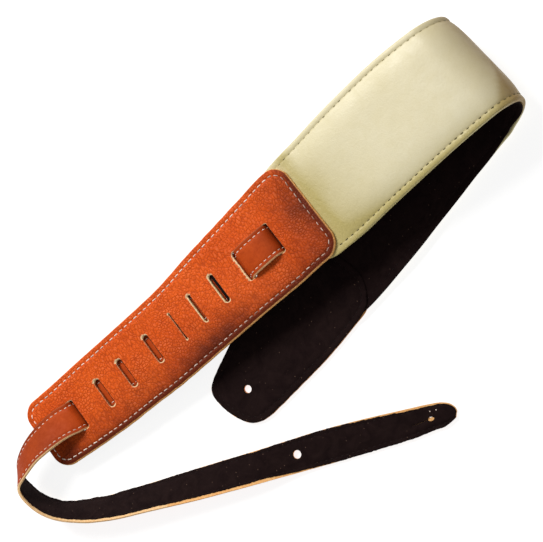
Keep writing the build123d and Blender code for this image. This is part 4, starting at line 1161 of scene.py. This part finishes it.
# two short stitches that hold the layers together above the tip's hole
tip_s, tip_v, _ = strap_uv(*TIP_HOLE)
for ds in (0.9, 5.2):
    q4 = np.linspace(tip_s + ds - 0.9, tip_s + ds + 0.9, 7)
    rows_f.append((strap_place(q4, np.full(7, tip_v - 6.6), np.full(7, -STRAP_LEATHER_T - STRAP_LINING_T + 0.12)), -strap.at(q4, strap.n), False, 1.3))
strap_st_f = stitch_rows("adjuster_strap_stitches_front", rows_f, radius=0.3, pitch=4.3, length=3.3, rise=0.17, dip=0.6, seed=12)
dress(strap_st_f, THREAD_MAT, "white_thread", "adjuster_strap_needle_thread_woven_run", "adjuster_strap_needle_thread_tail")
strap_st_b = stitch_rows("adjuster_strap_stitches_back", rows_b, radius=0.26, pitch=4.1, length=2.6, rise=0.06, dip=0.55, seed=13)
dress(strap_st_b, DARK_THREAD_MAT, "dark_thread", "adjuster_strap_bobbin_thread_woven_run", "adjuster_strap_bobbin_thread_tail")


# a direction that leans towards -x
bend_dir = np.array([-0.2, -0.86, -0.469])
bend_dir /= np.linalg.norm(bend_dir)
for ob in (strap_leather, strap_suede, strap_st_f, strap_st_b):
    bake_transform(ob)


# ---- shoulder pad -----------------------------------------------------------
pad_l, pad_r = Line(PAD_L, 6.0), Line(PAD_R, 6.0)
pA, pB, pf = [], [], []
for x in [PAD_X0, 43, 48, 53, 58, 61.5, 65, 70, 76, 82, 90, 98, 106, 114, 122, 130, 138, 146, 154, 162, 169, 175, 181]:
    z = float(top_z(x))
    tuck = float(ramp01(np.float64(-x), -52.0, -40.0))
    pA.append((x, float(pad_l(x)) - 1.5 * tuck, z))
    pB.append((x, float(pad_r(x)) + 3.6 * tuck, z))
    pf.append(min(max((x - 61.0) / 16.0, 0.06), 1.0))
for deg in (84, 72, 60, 48, 36, 24, 12, 0, -12, -24, -36, -48, -60, -72, -84):
    th = math.radians(deg)
    k = (90.0 - deg) / 180.0
    cxa = 187.0 if deg >= 0 else 187.0 - 8.6 * (-deg / 90.0) ** 1.3
    cxb = 192.0 if deg >= 0 else 192.0 + 1.5 * (-deg / 90.0)
    ya = 50.2 - 3.2 * min(k * 2, 1.0) - 5.8 * max(k * 2 - 1, 0.0) ** 1.2
    yb = -29.7 - 7.2 * max(k * 2 - 1, 0.0) ** 1.3
    z = 25.35 + 24.85 * math.sin(th)
    pA.append((cxa + 25.3 * math.cos(th), ya, z))
    pB.append((cxb + 25.2 * math.cos(th), yb, z))
    pf.append(1.0)
for (bx, by), w, z, f in zip(REAR_B, REAR_W, REAR_Z, REAR_F):
    pA.append((bx + REAR_DIR[1] * w, by - REAR_DIR[0] * w, z))
    pB.append((bx, by, z))
    pf.append(f)
pad = Run(pA, pB, 1.0, lambda s: 2.5)
pk = pad.key
foam_k = (COVER_T + BACKING_T + np.maximum(FOAM_T * gauss(np.interp(pad.q, pk, pf), 2.0), FOAM_MIN)) / PAD_T
s_fold0, s_fold1 = pk[23], pk[37]
front = 1 - ramp01(pad.q, s_fold0 + 8, s_fold1 - 20)         # 1 on the upper run
s_panel_end = float(np.interp(PANEL_X1, [p[0] for p in pA[:23]], pk[:23]))
dipend = np.exp(-((pad.q - s_panel_end - 1.0) / 6.5) ** 2) * (front > 0.5)


def across(w, inner, edge):
    """Distances across the pad, dense at the edges; edge is the list from one edge inwards."""
    mid = np.linspace(edge[-1], w - edge[-1], inner + 2)[1:-1]
    return np.concatenate([edge, mid, w - np.array(edge)[::-1]])


EDGE_V = np.array([0.0, 0.0, 0.12, 0.45, 1.0, 1.8, 2.7, 3.5, 4.05, 4.45, 4.85, 5.4, 6.3, 7.6, 9.4, 12.0, 15.5, 20.0])
EDGE_T = np.array([-4.5, -3.0, -2.25, -1.8, -1.52, -1.38, -1.34, -1.42, -1.58, -1.7, -1.54, -1.3, -1.05, -0.82, -0.6, -0.38, -0.18, -0.06])
wp1, wp2, wp3 = waves(31, 60.0), waves(32, 22.0), waves(33, 9.0)


def cover_section(i):
    s, w, k = pad.q[i], 2 * pad.hw[i], foam_k[i]
    v = across(w, 14, EDGE_V)
    e = np.minimum(v, w - v)
    t = np.interp(e, EDGE_V[1:], EDGE_T[1:])
    t[0] = t[-1] = EDGE_T[0]
    crown = np.clip(e / (w / 2), 0, 1)
    body = ramp01(e, 5.0, 14.0)
    t = t + front[i] * 0.75 * (1 - (1 - crown) ** 2) * body
    t = t + body * (0.16 * wp1(s, v) + 0.07 * wp2(s, v)) * (0.35 + 0.65 * front[i])
    t = t + 0.05 * wp3(s, v) * ramp01(e, 0.5, 1.5)
    # small gathers that the stitching pulls across the lip
    t = t + 0.02 * np.sin(s * math.tau / 5.2) * np.exp(-((e - 4.45) / 1.6) ** 2)
    t = np.where(e < 0.01, t, t)
    t = t * k - 0.45 * dipend[i] * ramp01(e, 3.0, 9.0)
    if front[i] < 0.5:
        t = np.minimum(t, 0.25)
    bottom = -5.25 * k
    outer = [(v0, tt0) for v0, tt0 in zip(v, t)]
    inn = across(w - 2.6, 14, np.clip(EDGE_V[1:] - 1.0, 0.0, None))
    ie = np.minimum(inn, w - 2.6 - inn) + 1.3
    it = np.interp(ie, EDGE_V[1:], EDGE_T[1:]) - 1.15
    it = np.minimum(it, -1.6) * k - 0.45 * dipend[i]
    inner = [(1.3 + v0, max(t0, bottom + 0.25)) for v0, t0 in zip(inn, it)]
    return [(0.5, bottom)] + outer + [(w - 0.5, bottom), (w - 1.3, bottom)] + inner[::-1] + [(1.3, bottom)]


def pad_point(i, v, t):
    """v from edge A towards edge B."""
    return pad.a[i] - pad.u[i] * v + pad.n[i] * t


def loft(name, idx, section, attr=None):
    verts, polys, at = [], [], {}
    m = None
    for i in idx:
        sec = section(i)
        m = len(sec)
        for v, t in sec:
            verts.append(pad_point(i, v, t))
            if attr:
                for k, val in attr(i, v, t).items():
                    at.setdefault(k, []).append(val)
    n = len(idx)
    for r in range(n - 1):
        for k in range(m):
            q = (k + 1) % m
            polys.append((r * m + k, r * m + q, (r + 1) * m + q, (r + 1) * m + k))
    polys.append(tuple(range(m))[::-1])
    polys.append(tuple((n - 1) * m + k for k in range(m)))
    v = np.array(verts)
    # outward faces: the signed volume has to be positive
    vol = 0.0
    for p in polys[:-2]:
        a, b, c, d = (v[j] for j in p)
        vol += np.dot(a, np.cross(b, c)) + np.dot(a, np.cross(c, d))
    if vol < 0:
        polys = [p[::-1] for p in polys]
    return make(name, v, polys, at, sharp=60.0)


def cover_attr(i, v, t):
    w = 2 * pad.hw[i]
    e = min(v, w - v)
    seam = math.exp(-((e - 4.45) / 0.7) ** 2) * (1.0 if t > -3.6 else 0.0) + 0.25 * max(0.0, 1 - e / 4.4)
    s = pad.q[i]
    upper = 1.0 if front[i] > 0.5 else 0.0
    ds = s - s_panel_end
    side = v / w
    # darker olive next to the panel's end, along the lower edge and in a patch near the junction: painted shade where
    # the pad dips under the panel and turns away from the light
    b = 0.6 * math.exp(-((ds - 2.5) / 7.0) ** 2) * upper
    b += (0.18 + 0.6 * side) * math.exp(-(max(ds - 4.0, 0.0) / 34.0) ** 2) * upper
    b += 0.55 * math.exp(-(e / 8.5) ** 2) * (1 if v > w / 2 else 0.25)
    b += 0.4 * (1 if v > w / 2 and e < 4.6 else 0) * (1 - 0.6 * min(max((s - s_fold0) / 20.0, 0.0), 1.0))
    b += 0.22 * math.exp(-((ds - 14) / 8.0) ** 2 - ((v - 34) / 14.0) ** 2)
    b += 0.34 * math.exp(-(e / 15.0) ** 2 - (max(ds, 0.0) / 60.0) ** 2) * upper * (1 if v > w / 2 else 0)
    # painted shade where the leather bends round the fold and turns away from the light, most at its lower corner
    f = s - s_fold0
    tan = 0.76 * math.exp(-((f - 36.0) / 15.0) ** 2) + 0.26 * math.exp(-((f - 26.0) / 26.0) ** 2)
    # painted cast shadow: a sharp-edged triangle at the fold's lower corner
    line = (f - 9.6) - (w - 5.0 - v) * 0.86
    tan += 0.36 / (1 + math.exp(-line / 1.1)) * (1 if f < 60 else 0)
    return {"seam": min(seam, 1.0), "burn": min(b, 1.0), "tan": min(tan, 1.0)}


every = list(range(len(pad.q)))
pad_cover = loft("pad_cover", every, cover_section, cover_attr)
dress(pad_cover, CREAM_MAT, "cream_leather", "pad_cover_front_run", "pad_cover_rear_run")

BACK_E = np.array([0.3, 0.32, 0.55, 1.1, 2.2, 3.4, 4.0, 4.45, 4.9, 5.6, 7.0, 9.5, 14.0, 20.0])
BACK_T = np.array([-5.3, -5.65, -5.95, -6.12, -6.16, -6.05, -5.85, -5.72, -5.85, -6.1, -6.32, -6.45, -6.5, -6.5])


def back_section(i):
    s, w, k = pad.q[i], 2 * pad.hw[i], foam_k[i]
    v = across(w, 12, BACK_E)
    e = np.minimum(v, w - v)
    t = np.interp(e, BACK_E[1:], BACK_T[1:])
    t = t + 0.1 * wp2(s + 40, v) * ramp01(e, 5, 12)
    t[0] = t[-1] = BACK_T[0]
    over = 1.1 * (1 - front[i])
    bare = 2.6 * math.exp(-((s - s_fold1 - 2.0) / 15.0) ** 2)
    v = v + np.where(v < w / 2, -over, over - bare) * np.clip(1 - e / 6.0, 0, 1)
    low = [(v0, t0 * k) for v0, t0 in zip(v, t)]
    return low + [(w - 4.0, -5.28 * k), (w / 2, -5.28 * k), (4.0, -5.28 * k)]


pad_back = loft("pad_suede_back", every, back_section)
dress(pad_back, SUEDE_MAT, "suede", "pad_backing_front_run", "pad_backing_rear_run")


def foam_section(i):
    w, k = 2 * pad.hw[i], foam_k[i]
    e = np.array([1.55, 1.55, 3.0, 5.5, 8.0, 12.0, 18.0, w / 2])
    top = np.interp(e, EDGE_V[1:], EDGE_T[1:]) - 1.35
    top[1:] = np.minimum(top[1:], -1.85)
    top[0] = -5.15
    v = np.concatenate([e, w - e[:-1][::-1]])
    t = np.concatenate([top, top[:-1][::-1]])
    return [(a, max(b * k - 0.5 * dipend[i], -5.2 * k) if j not in (0, len(v) - 1) else b * k) for j, (a, b) in enumerate(zip(v, t))]


foam_idx = [i for i in every if foam_k[i] > 0.5]
pad_foam = loft("pad_foam_core", foam_idx, foam_section)
dress(pad_foam, FOAM_MAT, "foam", "pad_foam_front_run", "pad_foam_rear_run")

f_rows, b_rows = [], []
s_front0 = s_panel_end - 4.0
s_rear1 = pk[-1] - 12.0
use = [i for i in every if s_front0 <= pad.q[i] <= s_rear1]
for side in (0, 1):
    pts_f, pts_b, nf, nb = [], [], [], []
    for i in use:
        w, k = 2 * pad.hw[i], foam_k[i]
        v = 4.45 if side == 0 else w - 4.45
        pts_f.append(pad_point(i, v, -1.64 * k))
        pts_b.append(pad_point(i, v, -5.76 * k))
        nf.append(pad.n[i])
        nb.append(-pad.n[i])
    f_rows.append((np.array(pts_f), np.array(nf), False))
    b_rows.append((np.array(pts_b), np.array(nb), False))


def pad_worn(px, py, pz):
    """The upper row of stitches is the paler one."""
    i = int(np.linalg.norm(pad.m - np.array([px, py, pz]), axis=1).argmin())
    return 0.0 if (np.array([px, py, pz]) - pad.m[i]) @ pad.u[i] < 0 else 1.1


pad_st_f = stitch_rows("pad_stitches_front", f_rows, worn=pad_worn, radius=0.33, pitch=5.2, length=3.0, rise=0.2, dip=0.6, seed=21)
dress(pad_st_f, PAD_THREAD_MAT, "pad_thread", "pad_needle_thread_front_run", "pad_needle_thread_rear_run")
pad_st_b = stitch_rows("pad_stitches_back", b_rows, radius=0.28, pitch=4.5, length=2.6, rise=0.1, dip=0.55, seed=22)
dress(pad_st_b, DARK_THREAD_MAT, "dark_thread", "pad_bobbin_thread_front_run", "pad_bobbin_thread_rear_run")

for ob in (pad_cover, pad_back, pad_foam, pad_st_f, pad_st_b):
    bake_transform(ob)


# ---- floor, camera and light ---------------------------------------------------
def stage_floor():
    n, half = 40, 1.6
    xs = np.linspace(-half, half, n + 1)
    verts = [(x, y, -0.0003) for y in xs for x in xs]
    polys = [(j * (n + 1) + i, j * (n + 1) + i + 1, (j + 1) * (n + 1) + i + 1, (j + 1) * (n + 1) + i) for j in range(n) for i in range(n)]
    me = bpy.data.meshes.new("floor")
    me.from_pydata(verts, [], polys)
    ob = bpy.data.objects.new("floor", me)
    bpy.context.scene.collection.objects.link(ob)
    m = Mat("pale_floor", Specular_IOR_Level=0.1, Emission_Color=(1, 1, 1, 1), Emission_Strength=0.84)
    f, _ = m.noise(40.0, 2.0)
    col = m.mix(m.ramp(f, [(0.2, 0.0), (0.8, 1.0)]), (0.33, 0.33, 0.33, 1), (0.35, 0.35, 0.348, 1))
    me.materials.append(m.done(col, 0.95))
    return ob


stage_floor()
A0, TAU, DIST = math.radians(-39.25), math.radians(20.0), 1077.0
r0 = np.array([math.cos(A0), math.sin(A0), 0.0])
upv = np.array([-math.sin(A0), math.cos(A0), 0.0])
bk = math.cos(TAU) * UP + math.sin(TAU) * r0
rt = math.cos(TAU) * r0 - math.sin(TAU) * UP
cam_data = bpy.data.cameras.new("camera")
cam_data.lens, cam_data.sensor_width, cam_data.sensor_fit = 100.0, 36.0, "HORIZONTAL"
cam_data.clip_start, cam_data.clip_end = 0.05, 20.0
cam_data.dof.use_dof = False
cam = bpy.data.objects.new("camera", cam_data)
bpy.context.scene.collection.objects.link(cam)
loc = (DIST * bk - ORIGIN) / 1000.0
cam.matrix_world = Matrix(((rt[0], upv[0], bk[0], loc[0]), (rt[1], upv[1], bk[1], loc[1]), (rt[2], upv[2], bk[2], loc[2]), (0, 0, 0, 1)))
bpy.context.scene.camera = cam


def area(name, where, target, size, power, color=(1, 1, 1)):
    d = bpy.data.lights.new(name, "AREA")
    d.shape, d.size, d.size_y, d.energy, d.color = "RECTANGLE", size[0], size[1], power, color
    o = bpy.data.objects.new(name, d)
    bpy.context.scene.collection.objects.link(o)
    o.location = where
    o.rotation_euler = (Vector(target) - Vector(where)).to_track_quat("-Z", "Y").to_euler()
    return o


def rel(a, b, c):
    """Point at a to the picture's right, b up in the picture, c towards the camera (metres)."""
    return tuple(a * r0 + b * upv + np.array([0, 0, c]))


area("key", rel(-0.75, 0.75, 1.05), (0, 0, 0.02), (0.6, 0.6), 21.5, (1.0, 0.985, 0.96))
area("fill", rel(0.9, 0.35, 1.1), (0, 0, 0), (1.2, 1.2), 0.8, (0.97, 0.98, 1.0))
area("front", rel(0.1, -1.0, 1.0), (0, 0, 0), (1.2, 0.8), 1.3)
world = bpy.data.worlds.new("studio")
world.use_nodes = True
bg = world.node_tree.nodes["Background"]
bg.inputs["Color"].default_value = (1.0, 1.0, 1.0, 1.0)
bg.inputs["Strength"].default_value = 0.25
bpy.context.scene.world = world
bpy.context.scene.view_settings.view_transform = "Standard"
